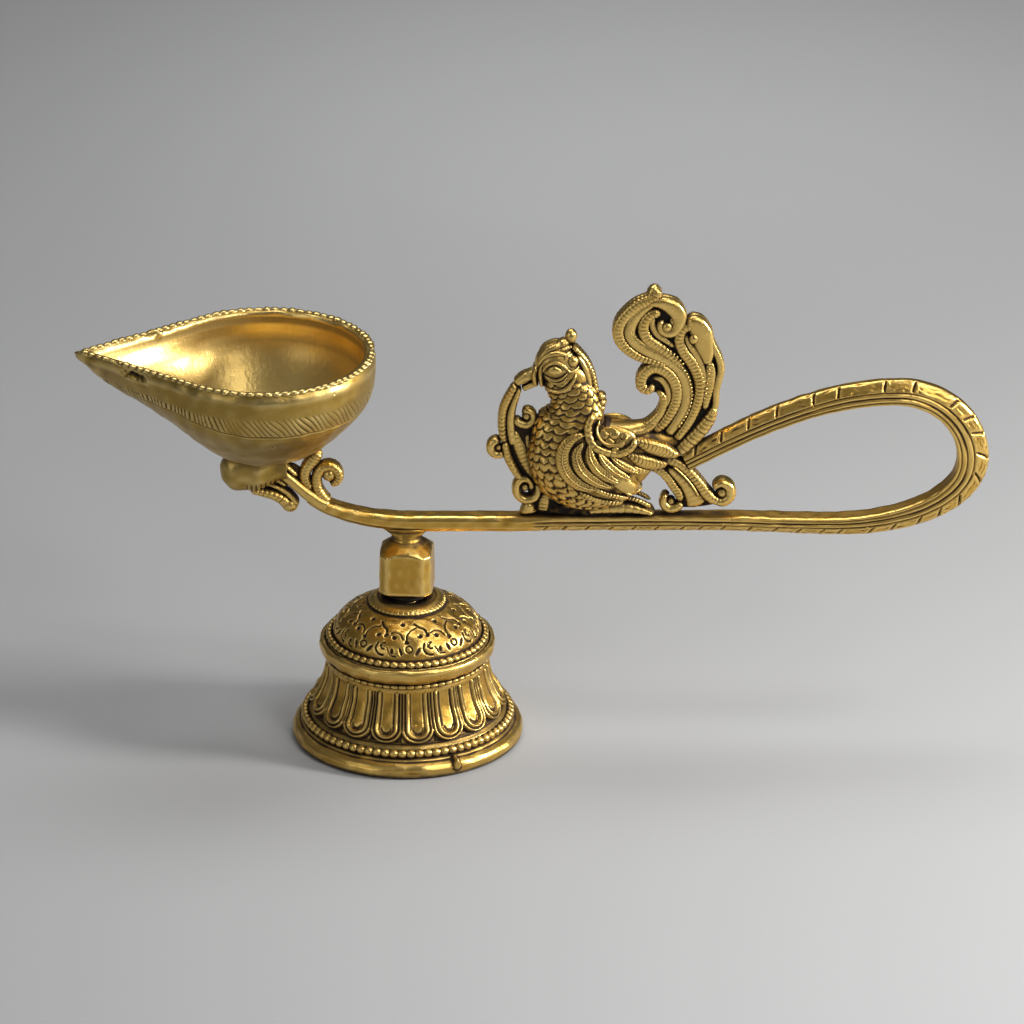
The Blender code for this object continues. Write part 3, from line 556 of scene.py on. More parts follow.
# %% [markdown]
# ## The camera, the floor and the light
#
# The camera stands low in front of the lamp with a long lens, so the foot and the bowl are seen slightly
# from above. Brass shows what it reflects, so most of the light is soft panels: a window at the front
# right, a small one low at the right that warms the bowl, a dim fill on the left and one overhead. Two
# wide spots make pools of light on the floor, in front and behind. The floor is one pale sheet that
# curves up a long way behind.

# %% Camera
VIEW_TILT = math.radians(24.5)
VIEW_DISTANCE = 2.2
VIEW_TARGET = np.array([-0.00595, 0.0, 0.0687])
VIEW_WIDTH = 0.291
SENSOR = 36.0

camera_data = bpy.data.cameras.new("camera")
camera_data.sensor_width = SENSOR
camera_data.lens = SENSOR * VIEW_DISTANCE / VIEW_WIDTH
camera = bpy.data.objects.new("camera", camera_data)
back_off = np.array([0, -math.cos(VIEW_TILT), math.sin(VIEW_TILT)]) * VIEW_DISTANCE
camera.location = VIEW_TARGET + back_off
camera.rotation_euler = (math.pi / 2 - VIEW_TILT, 0, 0)
bpy.context.collection.objects.link(camera)
bpy.context.scene.camera = camera
bpy.context.scene.view_settings.view_transform = "Standard"


# %% Floor
def sweep_floor():
    """A flat sheet that turns up behind in a quarter circle: y runs back, and on the turn the height is r
    - r cos(t) where y is r sin(t) behind the start of the turn."""
    side, front, turn_at, radius = 3.2, -3.2, 2.0, 1.2
    back = turn_at + radius * np.sin(np.linspace(0, np.pi / 2, 24))
    rise = radius - radius * np.cos(np.linspace(0, np.pi / 2, 24))
    y = np.r_[front, back, back[-1]]
    z = np.r_[0, rise, rise[-1] + 1.5]
    points = [(x, a, b) for x in (-side, side) for a, b in zip(y, z)]
    count = len(y)
    faces = [(k, k + count, k + count + 1, k + 1) for k in range(count - 1)]
    mesh = bpy.data.meshes.new("floor")
    mesh.from_pydata(points, [], faces)
    mesh.shade_smooth()
    made = bpy.data.objects.new("floor", mesh)
    bpy.context.collection.objects.link(made)
    plain = bpy.data.materials.new("pale_paper")
    plain.use_nodes = True
    shader = plain.node_tree.nodes["Principled BSDF"]
    shader.inputs["Base Color"].default_value = (0.42, 0.424, 0.43, 1)
    shader.inputs["Roughness"].default_value = 0.9
    shader.inputs["Specular IOR Level"].default_value = 0.1
    mesh.materials.append(plain)
    return made


floor = sweep_floor()
print("floor:", np.round(np.array(floor.dimensions), 1).tolist(), "m")


# %% Lights
def hang(name, data, place, aim):
    """A lamp at place, turned to face aim: tilted by the angle between straight down and the way to
    aim."""
    lamp = bpy.data.objects.new(name, data)
    toward = np.array(aim, float) - np.array(place, float)
    tilt = math.atan2(math.hypot(toward[0], toward[1]), -toward[2])
    lamp.location = place
    lamp.rotation_euler = (tilt, 0, math.atan2(toward[1], toward[0]) - math.pi / 2)
    bpy.context.collection.objects.link(lamp)


def panel(name, place, aim, size, power, tint=(1, 1, 1)):
    """A soft rectangular lamp at place, turned to face aim."""
    data = bpy.data.lights.new(name, "AREA")
    data.shape = "RECTANGLE"
    data.size, data.size_y = size
    data.energy = power
    data.color = tint
    hang(name, data, place, aim)


def soft_room():
    """A plain grey surround, lighter overhead."""
    world = bpy.data.worlds.new("room")
    bpy.context.scene.world = world
    world.use_nodes = True
    tree = world.node_tree
    direction = tree.nodes.new("ShaderNodeTexCoord")
    split = tree.nodes.new("ShaderNodeSeparateXYZ")
    tree.links.new(direction.outputs["Generated"], split.inputs[0])
    ramp = tree.nodes.new("ShaderNodeValToRGB")
    level, overhead = ramp.color_ramp.elements
    level.position = 0.0
    level.color = (0.16, 0.16, 0.16, 1)
    overhead.position = 0.9
    overhead.color = (0.5, 0.5, 0.51, 1)
    tree.links.new(split.outputs["Z"], ramp.inputs["Fac"])
    tree.links.new(ramp.outputs["Color"], tree.nodes["Background"].inputs["Color"])
    tree.nodes["Background"].inputs["Strength"].default_value = 0.31


def pool(name, place, aim, power, width, softness):
    """A wide spot with a fully soft edge: a pool of light on the floor that falls off all round."""
    data = bpy.data.lights.new(name, "SPOT")
    data.energy = power
    data.spot_size = math.radians(width)
    data.spot_blend = 1.0
    data.shadow_soft_size = softness
    hang(name, data, place, aim)


soft_room()
pool("key", (0.55, -0.34, 0.9), (0.2, -0.22, 0), 36, 31, 0.3)
pool("behind", (0.03, 0.35, 1.1), (0.03, 0.5, 0), 12, 23, 0.1)
panel("low_side", (0.8, -0.12, 0.36), (0.05, 0, 0.02), (0.16, 0.16), 9.0, (1, 0.98, 0.95))
panel("window", (0.6, -0.8, 0.8), (0, 0, 0.07), (0.3, 0.7), 3.4, (1, 0.98, 0.95))
panel("fill", (-0.9, -0.9, 0.5), (0, 0, 0.07), (0.5, 0.8), 1.7, (0.95, 0.97, 1))
panel("top", (-0.05, 0.25, 0.8), (0, 0, 0.08), (0.6, 0.3), 2.6)
print("camera", np.round(camera.location, 3), "lens", round(camera_data.lens, 1))

# %% [markdown]
# ## The bell foot
#
# The foot is a thin casting, turned smooth on its flange and rim and fluted between. A turned grid makes
# it: the wall's line gives each row its radius, and the flutes are pushed in and out along the normals.
# Each flute is a tongue, and the distance to the tongue's edge says everything: a raised border where it
# is nought, a groove outside that, a second border, and past it the wall drops back, which leaves a
# scalloped lip at the bottom.

# %% The foot's wall
FLUTES = 18
FLUTE_TURN = 7.3  # degrees from the front to the nearest flute's middle
FLUTE_RADIUS = 24.5  # where the flutes' widths are measured
FLASH_TURN = 26  # degrees from the front to the lump of casting flash on the flange
FOOT_COLUMNS = 540
FOOT_RADIUS = (skirt_high[0] - skirt_low[0]) / 2
RIM_Z = skirt_high[2]
FRONT = -90.0


def flute_relief(turn, rise):
    """Height of the fluting in mm at an angle (degrees) and a distance up the wall from the lip."""
    pitch = 360 / FLUTES
    number = np.floor((turn - FRONT - FLUTE_TURN) / pitch + 0.5)
    uneven = np.random.default_rng(4).uniform(-1, 1, (2, FLUTES))[:, number.astype(int) % FLUTES]
    across = (turn - FRONT - FLUTE_TURN) - number * pitch + 0.35 * uneven[0]
    across = across * math.radians(1) * FLUTE_RADIUS
    half, bottom = 2.7, 2.3
    centre = bottom + half
    edge = np.where(rise < centre, np.hypot(across, rise - centre), np.abs(across)) - half
    border = 0.5 * ridge(edge, 1.1) - 0.4 * ridge(edge + 0.85, 0.7) - 0.6 * ridge(edge - 0.72, 0.6)
    second = 0.3 * ridge(edge - 1.2, 0.7)
    valley = -0.75 * ridge(np.abs(across) - 4.28, 0.75) * soft_step(centre - 1, centre + 1, rise)
    behind = -1.25 * soft_step(1.5, 1.95, edge) * soft_step(centre + 1.5, centre - 0.5, rise)
    curl = np.hypot(across, rise - centre + 0.1)
    pit = -0.6 * ridge(curl - 1.35, 0.8) * soft_step(0.4, -0.5, rise - centre)
    panel_dip = -0.12 * soft_step(-0.8, -1.6, edge)
    fade = soft_step(15.6, 14.6, rise)
    return fade * (1 + 0.15 * uneven[1]) * (border + second + valley + behind + pit + panel_dip)


def foot_skirt():
    """The wall's line in four stretches, each with its own step, turned into a grid; then the flutes."""
    r = FOOT_RADIUS
    flange = [
        (r - 2.8, 0), (r - 0.9, 0), (r - 0.25, 0.4), (r, 1.4), (r - 0.15, 2.7), (r - 0.7, 3.7),
        (r - 1.6, 4.3), (r - 2.3, 4.5), (r - 2.6, 5.0), (r - 3.6, 5.3), (r - 4.5, 6.2), (r - 4.8, 7.3),
        (r - 5.2, 7.8), (r - 4.95, 8.2)
    ]
    wall = [
        (r - 4.9, 8.3), (r - 5.1, 9.2), (r - 6.1, 11.4), (r - 7.8, 14.2), (r - 9.0, 17.0),
        (r - 9.8, 20.0), (r - 10.1, 23.4)
    ]
    rim = [
        (r - 10.3, 23.9), (r - 10.4, 24.6), (r - 9.9, 25.3), (r - 9.0, 25.9), (r - 8.4, 26.6),
        (r - 8.05, 27.6), (r - 7.95, 28.8), (r - 8.2, 29.7), (r - 8.7, RIM_Z), (r - 9.45, RIM_Z),
        (r - 9.45, 28.7), (r - 12.3, 28.7)
    ]
    inside = [(r - 12.9, 22.4), (r - 11.4, 16.3), (r - 7.9, 8.2), (r - 3.0, 0.3)]
    flange = even_steps(np.array(flange), gap=0.3)
    rim = even_steps(np.array(rim), gap=0.3)
    line = np.vstack([flange, curve(wall, gap=0.22), rim, inside])
    turn = np.linspace(0, 360, FOOT_COLUMNS, endpoint=False)[None]
    rise = (lengths(line) - lengths(line)[len(flange)])[:, None]
    height = line[:, 1:]
    relief = np.where((rise > -0.6) & (height < 24), flute_relief(turn + 0 * rise, rise + 0 * turn), 0)
    grid = turned(line[:, :1] + 0 * turn, height + 0 * turn)
    uneven = 0.14 * lumps(grid, 6.0, 3) * soft_step(0, 2, height)
    flash = 1.3 * ridge(turn - 360 - FRONT - FLASH_TURN, 5) * ridge(height - 3.6, 4.5)
    flash = flash * (1 + 0.5 * lumps(grid, 2.0, 8))
    outer = np.arange(len(line))[:, None] < len(line) - len(inside)
    return shell(grid, raised=np.where(outer, relief + uneven + flash, 0), closed_rows=True)


piece("foot_skirt", foot_skirt(), antique, "base", ["base_skirt"])

# %% Rings of beads
RINGS = {
    "foot_bead_ring": bead_ring(FOOT_RADIUS - 3.75, 6.55, 2.5, 76, rows=12),
    "waist_bead_ring": bead_ring(FOOT_RADIUS - 9.95, 24.55, 1.3, 64, per_bead=6),
    "dome_bead_ring": bead_ring(FOOT_RADIUS - 10.75, 30.95, 2.0, 60, rows=12),
}
for name, beads in RINGS.items():
    piece(name, beads, antique, "base")

# %% [markdown]
# ## The dome
#
# The dome is punched and engraved by hand with one motif of forty degrees, nine times round: a ringed dot
# between two leaf marks, a large curl, and strokes with ball ends that hang from the collar. Every stroke
# is the distance to a short line drawn on the dome, with u to the side and v up from the dome's edge,
# both in millimetres.

# %% Dome
DOME_COLUMNS = 720
SECTORS = 9
MOTIF_TURN = 2  # degrees from the front to the middle of a motif


def dome_marks(u, v):
    """Relief of one motif in mm: strokes are cosine grooves along lines, dots are rings and pits."""
    relief = np.zeros(u.shape)

    def stroke(points, width, depth):
        nonlocal relief
        relief = np.minimum(relief, -depth * ridge(gap_to(u, v, curve(points, gap=0.35)), width))

    def ring(at, size, depth):
        nonlocal relief
        away = np.hypot(u - at[0], v - at[1])
        relief = np.minimum(relief, -depth * ridge(away - size, 0.75)) + 0.22 * ridge(away, size * 1.3)

    def leaf_mark(at, lean, length):
        nonlocal relief
        c, s = math.cos(lean), math.sin(lean)
        along, beside = (u - at[0]) * s + (v - at[1]) * c, (u - at[0]) * c - (v - at[1]) * s
        relief = np.minimum(relief, -0.5 * soft_step(1.0, 0.45, np.hypot(along / length, beside / 0.62)))

    ring((0, 3.4), 0.95, 0.5)
    leaf_mark((-2.4, 2.7), -0.25, 1.5)
    leaf_mark((2.5, 2.6), 0.6, 1.6)
    stroke(
        [(4.4, 4.8), (4.3, 3.1), (5.4, 1.7), (7.1, 1.4), (8.5, 2.4), (8.9, 4.2), (8.2, 5.6)], 0.85, 0.6
    )
    ring((6.6, 4.1), 0.9, 0.45)
    stroke([(6.6, 5.1), (5.5, 4.9), (5.4, 3.8)], 0.6, 0.4)
    leaf_mark((-5.0, 2.6), 0.15, 1.2)
    stroke([(-6.4, 3.6), (-5.6, 1.6), (-3.9, 1.2)], 0.7, 0.45)
    stroke([(-0.6, 5.6), (-0.5, 7.6), (0.5, 9.3), (2.1, 10.2)], 0.8, 0.6)
    stroke([(5.4, 7.6), (4.6, 9.4), (3.0, 10.4), (1.6, 11.8)], 0.9, 0.65)
    stroke([(-1.7, 6.4), (-2.4, 8.0), (-3.9, 8.6), (-5.1, 8.2)], 0.75, 0.5)
    stroke([(-6.6, 10.2), (-6.0, 8.2), (-6.8, 6.6)], 0.7, 0.5)
    for at in ((-0.6, 5.5), (5.5, 7.5), (-4.2, 6.9), (3.3, 7.2), (-1.6, 11.6)):
        relief = np.minimum(relief, -0.6 * soft_step(0.85, 0.35, np.hypot(u - at[0], v - at[1])))
    return relief


def foot_dome():
    """A quarter ellipse for the crown, a sloping collar on it, and a hollow underside with a hole for the
    stud."""
    spring, rise, radius = RIM_Z + 1.8, 10.4, 21.2
    top = DOME_TOP
    collar_turn = math.acos(10.8 / radius)
    arc = np.linspace(0, collar_turn, 80)
    crown = np.stack([radius * np.cos(arc), spring + rise * np.sin(arc)], 1)
    edge = [(23.35, 29.1), (23.35, 30.0), (22.6, 30.2), (21.5, 30.7), (radius + 0.05, spring - 0.15)]
    edge = even_steps(np.array(edge), gap=0.3)
    base = crown[-1, 1]
    collar = [
        (10.9, base + 0.2), (11.1, base + 0.55), (10.9, base + 0.95), (9.9, top - 0.25), (9.0, top),
        (7.4, top - 0.05)
    ]
    collar = curve(np.array(collar), gap=0.25)
    hole = [
        (5.4, top - 0.1), (5.4, top - 2.6), (4.2, top - 2.6), (4.2, 38.3), (9.5, 38.2), (14.5, 35.4),
        (18.0, 32.0), (18.8, 29.1)
    ]
    line = np.vstack([edge, crown, collar, hole])
    turn = np.linspace(0, 2 * np.pi, DOME_COLUMNS, endpoint=False)[None]
    per = DOME_COLUMNS // SECTORS
    local = (np.arange(per) - per / 2) / DOME_COLUMNS * 2 * np.pi
    rise_mm = lengths(line) - lengths(line)[len(edge)]
    u, v = local[None] * line[:, :1], rise_mm[:, None] + 0 * local[None]
    first = int(DOME_COLUMNS * (360 + FRONT + MOTIF_TURN) / 360) - per // 2
    marks = np.roll(np.tile(dome_marks(u, v), (1, SECTORS)), first, axis=1)
    on_crown = soft_step(0.3, 0.9, rise_mm) * soft_step(13.6, 13.0, rise_mm)
    grid = turned(line[:, :1] + 0 * turn, line[:, 1:] + 0 * turn)
    hammered = 0.09 * lumps(grid, 4.5, 5) * on_crown[:, None]
    row = np.arange(len(line))
    on_collar = ((row >= len(edge) + len(crown)) & (row < len(line) - len(hole)))[:, None]
    worn = 0.35 + 0.65 * soft_step(0.3, 0.9, np.abs(np.sin((turn - math.radians(FRONT)) / 2)) ** 0.8)
    rope = -0.4 * (1 - nicks((turn / (2 * np.pi)) * 46, 2.2)) * worn
    rope = rope * soft_step(10.2, 10.8, line[:, :1]) * on_collar
    stain_and_shade = 0.7 * soft_step(12.4, 14.2, rise_mm)[:, None] * soft_step(15.6, 14.4, rise_mm)[:, None] * worn
    stain_and_shade = stain_and_shade + 0.8 * (line[:, :1] < 8.6) * (line[:, 1:] > 40) * worn
    return shell(grid, stain_and_shade=stain_and_shade, raised=marks * on_crown[:, None] + hammered + rope, closed_rows=True)


piece("foot_dome", foot_dome(), antique, "base", ["base_dome"])

# %% [markdown]
# ## The stud, its nut and washers
#
# The stud is cut with a coarse thread, which shows when the neck is screwed up. A thread is a turned grid
# whose radius depends on height / pitch - angle / one turn: a triangle wave of that is a V thread.

# %% Stud, nut and washers
THREAD_PITCH = 1.25


def stud_shell():
    """The threaded rod: its radius falls by the thread's wave, and its two ends are eased."""
    low, high = (corner[2] for corner in box_mm("stem_stud"))
    height = np.linspace(low, high, 170)[:, None]
    turn = np.linspace(0, 2 * np.pi, 48, endpoint=False)[None]
    wave = np.abs(((height / THREAD_PITCH - turn / (2 * np.pi)) % 1) * 2 - 1)
    end = soft_step(high, high - 0.7, height) * soft_step(low, low + 0.7, height)
    return shell(turned((3.72 - 0.62 * wave) * (0.8 + 0.2 * end), height + 0 * turn))


def ring_shell(node, inner, soft=0.3, sides=0):
    """A washer, or with sides a nut: a closed ring with eased corners. A flat is cos(half a side) /
    cos(angle from its middle) of the corner radius, and where the node's box is measured across flats,
    that radius is reckoned."""
    low, high = box_mm(node)
    outer = (high[1] - low[1]) / 2
    bottom, top = low[2], high[2]
    turn = np.linspace(0, 2 * np.pi, 144, endpoint=False)[None]
    flats = 1.0
    if sides:
        step = 2 * np.pi / sides
        flats = 1 / np.cos((turn + np.pi / 2) % step - step / 2) * math.cos(np.pi / sides)
        if outer * 2 < (high[0] - low[0]) - 0.5:
            outer = outer / math.cos(np.pi / sides)
    line = [
        (inner, bottom + soft, 0), (inner, top - soft, 0), (inner + soft, top, 0),
        (outer - 2.2 * soft, top, 1), (outer, top - 1.2 * soft, 1), (outer, bottom + soft, 1),
        (outer - soft, bottom, 1), (inner + soft, bottom, 0)
    ]
    line = np.array(line)
    # The third number says which rows have the flats.
    radius = np.where(line[:, 2:] > 0, line[:, :1] * flats, line[:, :1])
    return shell(turned(radius, line[:, 1:2] + 0 * turn), closed_rows=True)


piece("stud", stud_shell(), thread_brass, "base", ["stem_stud"])
piece(
    "stud_lock_washer", ring_shell("stud_washer", 4.15, 0.2), thread_brass, "base",
    ["stud_washer"]
)
piece(
    "stud_lock_nut", ring_shell("stud_nut", 4.15, 0.4, sides=6), thread_brass, "base",
    ["stud_nut"]
)
piece(
    "neck_spacer", ring_shell("neck_washer", 4.15, 0.35), dark_ground_and_shade, "washer",
    ["neck_washer"]
)

# %% [markdown]
# ## The neck
#
# The neck began as a square bar: four broad flats, four narrow ones where the corners were filed off, and
# a shoulder turned on a lathe down to a thin stub. So its radius at an angle is the least of three: the
# broad flats at half / |cos|, the corner flats the same way turned by 45 degrees, and the turned
# shoulder's own radius. A least with high powers, (a^-p + b^-p)^(-1/p), rounds the edges as polishing
# does.


# %% Neck
def least(p, *radii):
    """A soft least of several radii: the sum of their -p powers, to the power -1/p."""
    return sum(radius ** (-float(p)) for radius in radii) ** (-1 / p)


NECK_TURN = math.radians(5)  # how far the flats are turned from facing front
# The turned shoulder and stub: distance below the top of the neck, radius. The last two widen into the bar.
NECK_CAP = [
    (6.0, 9.4), (5.3, 8.2), (4.6, 7.3), (3.9, 6.3), (3.2, 5.2), (2.5, 4.4), (1.6, 4.1), (0.9, 4.6),
    (0.2, 5.6), (-1.2, 7.4)
]


def eight_flats(half, turn):
    """Radii of the four broad flats and of the four corner flats, which stand 1.2 times as far out."""
    facing = turn + NECK_TURN
    square = half / np.maximum(np.abs(np.cos(facing)), np.abs(np.sin(facing)))
    diagonal = facing + np.pi / 4
    corner = 1.2 * half / np.maximum(np.abs(np.cos(diagonal)), np.abs(np.sin(diagonal)))
    return square, corner


def neck_shell():
    """Rows from the bore's end, down the bore, out under the foot of the neck, and up the outside to the
    stub."""
    bottom, top = neck_low[2], neck_high[2]
    half = (neck_high[1] - neck_low[1]) / 2
    turn = np.linspace(0, 2 * np.pi, 288, endpoint=False)[None]
    height = np.linspace(bottom + 0.5, top + 1.2, 88)[:, None]
    square, corner = eight_flats(half * (1.0 - 0.035 * (height - bottom) / (top - bottom)), turn)
    below, cap_radius = np.array(NECK_CAP).T
    cap = np.interp(height, np.r_[bottom, top - below], np.r_[11.0, cap_radius])
    radius = least(36, square, corner, cap)
    under = np.array([(4.2, bottom + 10.5), (4.2, bottom + 0.4), (4.6, bottom), (half - 0.9, bottom)])
    flats = np.where(under[:, :1] > 5, least(36, square[:1], corner[:1]) / half, 1)
    heights = np.vstack([under[:, 1:] + 0 * turn, height + 0 * turn])
    grid = turned(np.vstack([under[:, :1] * flats, radius]), heights)
    # The stub widens into the bar only along the bar, so above its waist it is flattened from front to back.
    grid[:, :, 1] *= 1 - 0.5 * soft_step(top - 2.2, top + 0.6, grid[:, :, 2])
    heights = grid[:, :, 2]
    right = soft_step(-0.4, 1.2, np.broadcast_to(np.cos(turn - 0.2), heights.shape))
    stain_and_shade = 0.9 * ridge(heights - (top - 3.2), 3.2) * right * (0.6 + 0.4 * lumps(grid, 3.0, 2))
    stain_and_shade += 0.5 * soft_step(bottom + 1.0, bottom, heights)
    return shell(grid, stain_and_shade=stain_and_shade, raised=0.05 * lumps(grid, 4.0, 6))


piece("neck_block", neck_shell(), neck_brass, "arm", ["neck"])

# %% [markdown]
# ## The handle
#
# One bar starts under the bowl, runs level over the neck and under the peacock, and loops back to the
# bird's tail. It is a profile carried along a path. The profile has a flat inner face, two side faces,
# and an outer edge planed off to a slope on both sides. From the bird onwards the sides have ribs, and
# the slopes are chased with slanting cuts.

# %% Handle path
BAR_HALF_WIDTH = (bar_high[1] - bar_low[1]) / 2
BAR_THICK, LOOP_END_THICK, LOOP_TOP_THICK = 4.9, 9.1, 7.0
BAR_Z = neck_high[2] + 0.3 + BAR_THICK / 2  # the bar's middle, just over the neck
LOOP_SPAN = bar_high[0] - LOOP_END_THICK / 2 - STEM_X
LOOP_RISE = bar_high[2] - LOOP_TOP_THICK / 2 - BAR_Z
# Each knot: x, z, heading in degrees, reach of the curve before it, reach after it, thickness of the bar.
BAR_KNOTS = [
    (STEM_X - 27.1, BAR_Z + 7.9, -40, 0, 7.3, 3.6),
    (STEM_X + 4.0, BAR_Z, 0, 13.55, LOOP_SPAN * 0.2, BAR_THICK),
    (STEM_X + LOOP_SPAN * 0.55, BAR_Z + 0.1, 0, LOOP_SPAN * 0.18, LOOP_SPAN * 0.06, BAR_THICK),
    (STEM_X + LOOP_SPAN * 0.76, BAR_Z - 0.8, 0, LOOP_SPAN * 0.07, LOOP_SPAN * 0.125, 5.6),
    (STEM_X + LOOP_SPAN, BAR_Z + LOOP_RISE * 0.5, 90, LOOP_RISE * 0.33, LOOP_RISE * 0.27, LOOP_END_THICK),
    (STEM_X + LOOP_SPAN * 0.866, BAR_Z + LOOP_RISE, 180, LOOP_SPAN * 0.076, LOOP_SPAN * 0.158, 7.2),
    (STEM_X + LOOP_SPAN * 0.492, BAR_Z + LOOP_RISE * 0.48, 208, LOOP_SPAN * 0.083, 0, 5.6),
]


def bezier(knots, steps=80):
    """Cubic curves through knots, each point (1-t)^3 a + 3(1-t)^2 t b + 3(1-t) t^2 c + t^3 d; the last
    value of a knot, the thickness, goes straight from knot to knot. Columns: x, z, thickness."""
    t = np.linspace(0, 1, steps, endpoint=False)[:, None]
    parts = []
    for first, second in zip(knots, knots[1:]):
        start, end = np.array(first[:2]), np.array(second[:2])
        turn_out, turn_in = math.radians(first[2]), math.radians(second[2])
        leave = start + first[4] * np.array([math.cos(turn_out), math.sin(turn_out)])
        arrive = end - second[3] * np.array([math.cos(turn_in), math.sin(turn_in)])
        place = (1 - t) ** 3 * start + 3 * (1 - t) ** 2 * t * leave
        place = place + 3 * (1 - t) * t**2 * arrive + t**3 * end
        parts.append(np.hstack([place, first[5] + (second[5] - first[5]) * t]))
    last = knots[-1]
    return np.vstack([*parts, [[last[0], last[1], last[5]]]])


bar_line = bezier(BAR_KNOTS)
CHASED_FROM = STEM_X + 37.0
print("handle:", round(float(lengths(bar_line[:, :2])[-1])), "mm along its middle")


# %% The bar's profile
def bar_section(half_outline, count=41):
    """One side of the profile, from the inner face's middle to the outer edge's middle, at equal steps.
    Each place is (share of the half thickness, distance to the side in mm)."""
    return even_steps(np.array(half_outline, float) * [3.0, 1.0], count) / [3.0, 1.0]


w = BAR_HALF_WIDTH
PLAIN_BAR = bar_section([
    (-1, 0), (-1, w * 0.62), (-0.86, w * 0.86), (-0.5, w), (0.35, w), (0.8, w * 0.8), (1, w * 0.45),
    (1, 0)
])
CHASED_BAR = bar_section([
    (-1, 0), (-1, w * 0.7), (-0.93, w * 0.9), (-0.84, w), (0.14, w), (0.26, w * 0.93), (0.86, w * 0.55),
    (1, w * 0.3), (1, 0)
])


# %% Handle
def chased_relief(grid, share, width, places, start, end, half):
    """Ribs on the sides and slanting cuts on the slopes. A rib is a cosine groove at a set share of the
    thickness; a cut is a groove where (mm along + slant * mm across) / spacing is a whole number, each a
    little out of place."""
    side = soft_step(w * 0.93, w * 0.99, np.abs(width))
    slow = 0.05 * np.sin(places / 9)[:, None]
    relief = -0.7 * ridge((share - 0.12 - slow) * half, 1.0)
    relief = relief - 0.6 * ridge((share + 0.34 - slow) * half, 1.0)
    relief = relief - 0.45 * ridge((share + 0.7) * half, 0.8) * soft_step(2.4, 3.0, half)
    relief = relief * np.maximum(side, ridge((share - 0.14) * half, 1.0))
    band = soft_step(0.2, 0.34, share) * soft_step(w * 0.25, w * 0.4, np.abs(width))
    spacing = np.interp(
        places, [start, start + 110, start + 150, end - 75, end], [6.2, 7.0, 5.5, 10.5, 8.5]
    )
    slant = np.interp(places, [start, start + 120, start + 160, end], [0.9, 0.9, 0.1, 0.75])[:, None]
    straight = np.cumsum(np.gradient(places) / spacing)[:, None]
    phase = straight + slant * (share - 0.6) * half / spacing[:, None]
    whole = np.round(phase)
    jitter = np.random.default_rng(12).uniform(-0.16, 0.16, 80)
    off = (phase - whole - jitter[np.abs(whole).astype(int) % 80]) * spacing[:, None]
    relief = relief - 0.9 * ridge(off, 1.1) * band
    wander = 0.9 * np.sin(places * 1.3) + 1.5 * np.sin(places * 0.43)
    strokes = soft_step(0.2, 0.9, np.sin((share - 0.2) * half * 5.5 + wander[:, None]))
    patchy = 0.5 + 0.5 * lumps(grid, 3.0, 9)
    return relief - 0.17 * strokes * band * soft_step(0.9, 1.7, np.abs(off)) * patchy


def handle_shell():
    """The profile on each place of the path: outward by its share of the thickness, sideways by its
    width."""
    along = lengths(bar_line[:, :2])
    chased_at = np.interp(CHASED_FROM, bar_line[:240, 0], along[:240])
    places = np.r_[np.arange(0, chased_at - 4, 0.7), np.arange(chased_at - 4, along[-1], 0.27)]
    line = np.stack([np.interp(places, along, bar_line[:, k]) for k in range(3)], 1)
    chased = soft_step(-3, 5, places - chased_at)[:, None]
    outline = PLAIN_BAR[None] + (CHASED_BAR - PLAIN_BAR)[None] * chased[..., None]
    outline = np.concatenate([outline, outline[:, -2:0:-1] * [1, -1]], 1)
    share, width = outline[..., 0], outline[..., 1]
    half = line[:, 2:] / 2
    heading = np.gradient(line[:, :2], axis=0)
    heading /= np.linalg.norm(heading, axis=1, keepdims=True)
    outer = np.stack([heading[:, 1], -heading[:, 0]], 1)
    x = line[:, :1] + share * half * outer[:, :1]
    z = line[:, 1:2] + share * half * outer[:, 1:]
    grid = np.stack([x, -width, z], 2)
    relief = chased * chased_relief(grid, share, width, places, chased_at, along[-1], half)
    relief = relief + 0.06 * lumps(grid, 4.5, 10)
    # The inner face of the chased bar is darkened: painted shade on the face turned into the loop.
    inner = soft_step(-0.9, -1.0, share) * soft_step(w, w * 0.8, np.abs(width)) * chased
    at_neck = 0.4 * ridge(line[:, :1] - STEM_X, 9) * soft_step(0.2, 0.9, share)
    return shell(grid, stain_and_shade=0.35 * inner + at_neck, raised=relief)


piece("handle", handle_shell(), satin, "arm", ["handle_bar"])

# %% [markdown]
# ## The oil bowl
#
# Seen from above the bowl is a circle of radius R with two tangents to a point at a distance T. In polar
# form that is R on the round side and R / cos(|angle| - tangent angle) on the straight sides, with
# cos(tangent angle) = R / T from the point. The wall shrinks R and T by their own shares on the way down.
# Outside, below the beaded rim, runs an engraved belt: slanting hatches that turn to square punch marks
# towards the point.

# %% Bowl outline
BOWL_RADIUS = (bowl_high[1] - bowl_low[1]) / 2
BOWL_X = bowl_high[0] - BOWL_RADIUS
BOWL_TIP = BOWL_X - bowl_low[0]
BOWL_RIM_Z, BOWL_FOOT_Z = bowl_high[2], bowl_low[2]
BOWL_DEPTH = BOWL_RIM_Z - BOWL_FOOT_Z
# The outer wall: share of R, share of T, share of the depth.
BOWL_WALL = [
    (0.3, 0.18, 0.0),
    (0.44, 0.27, 0.045),
    (0.6, 0.405, 0.16),
    (0.77, 0.53, 0.33),
    (0.91, 0.67, 0.5),
    (0.985, 0.83, 0.68),
    (1.0, 0.94, 0.86),
    (1.0, 0.985, 0.93),
    (0.975, 1.0, 1.0),
]


def bowl_reach(turn, radius, tip):
    """Distance from the bowl's axis to the outline at an angle."""
    tip = np.maximum(tip, radius * 1.001)
    tangent = np.pi - np.arccos(radius / tip)
    return np.where(np.abs(turn) <= tangent, radius, radius / np.cos(np.abs(turn) - tangent))


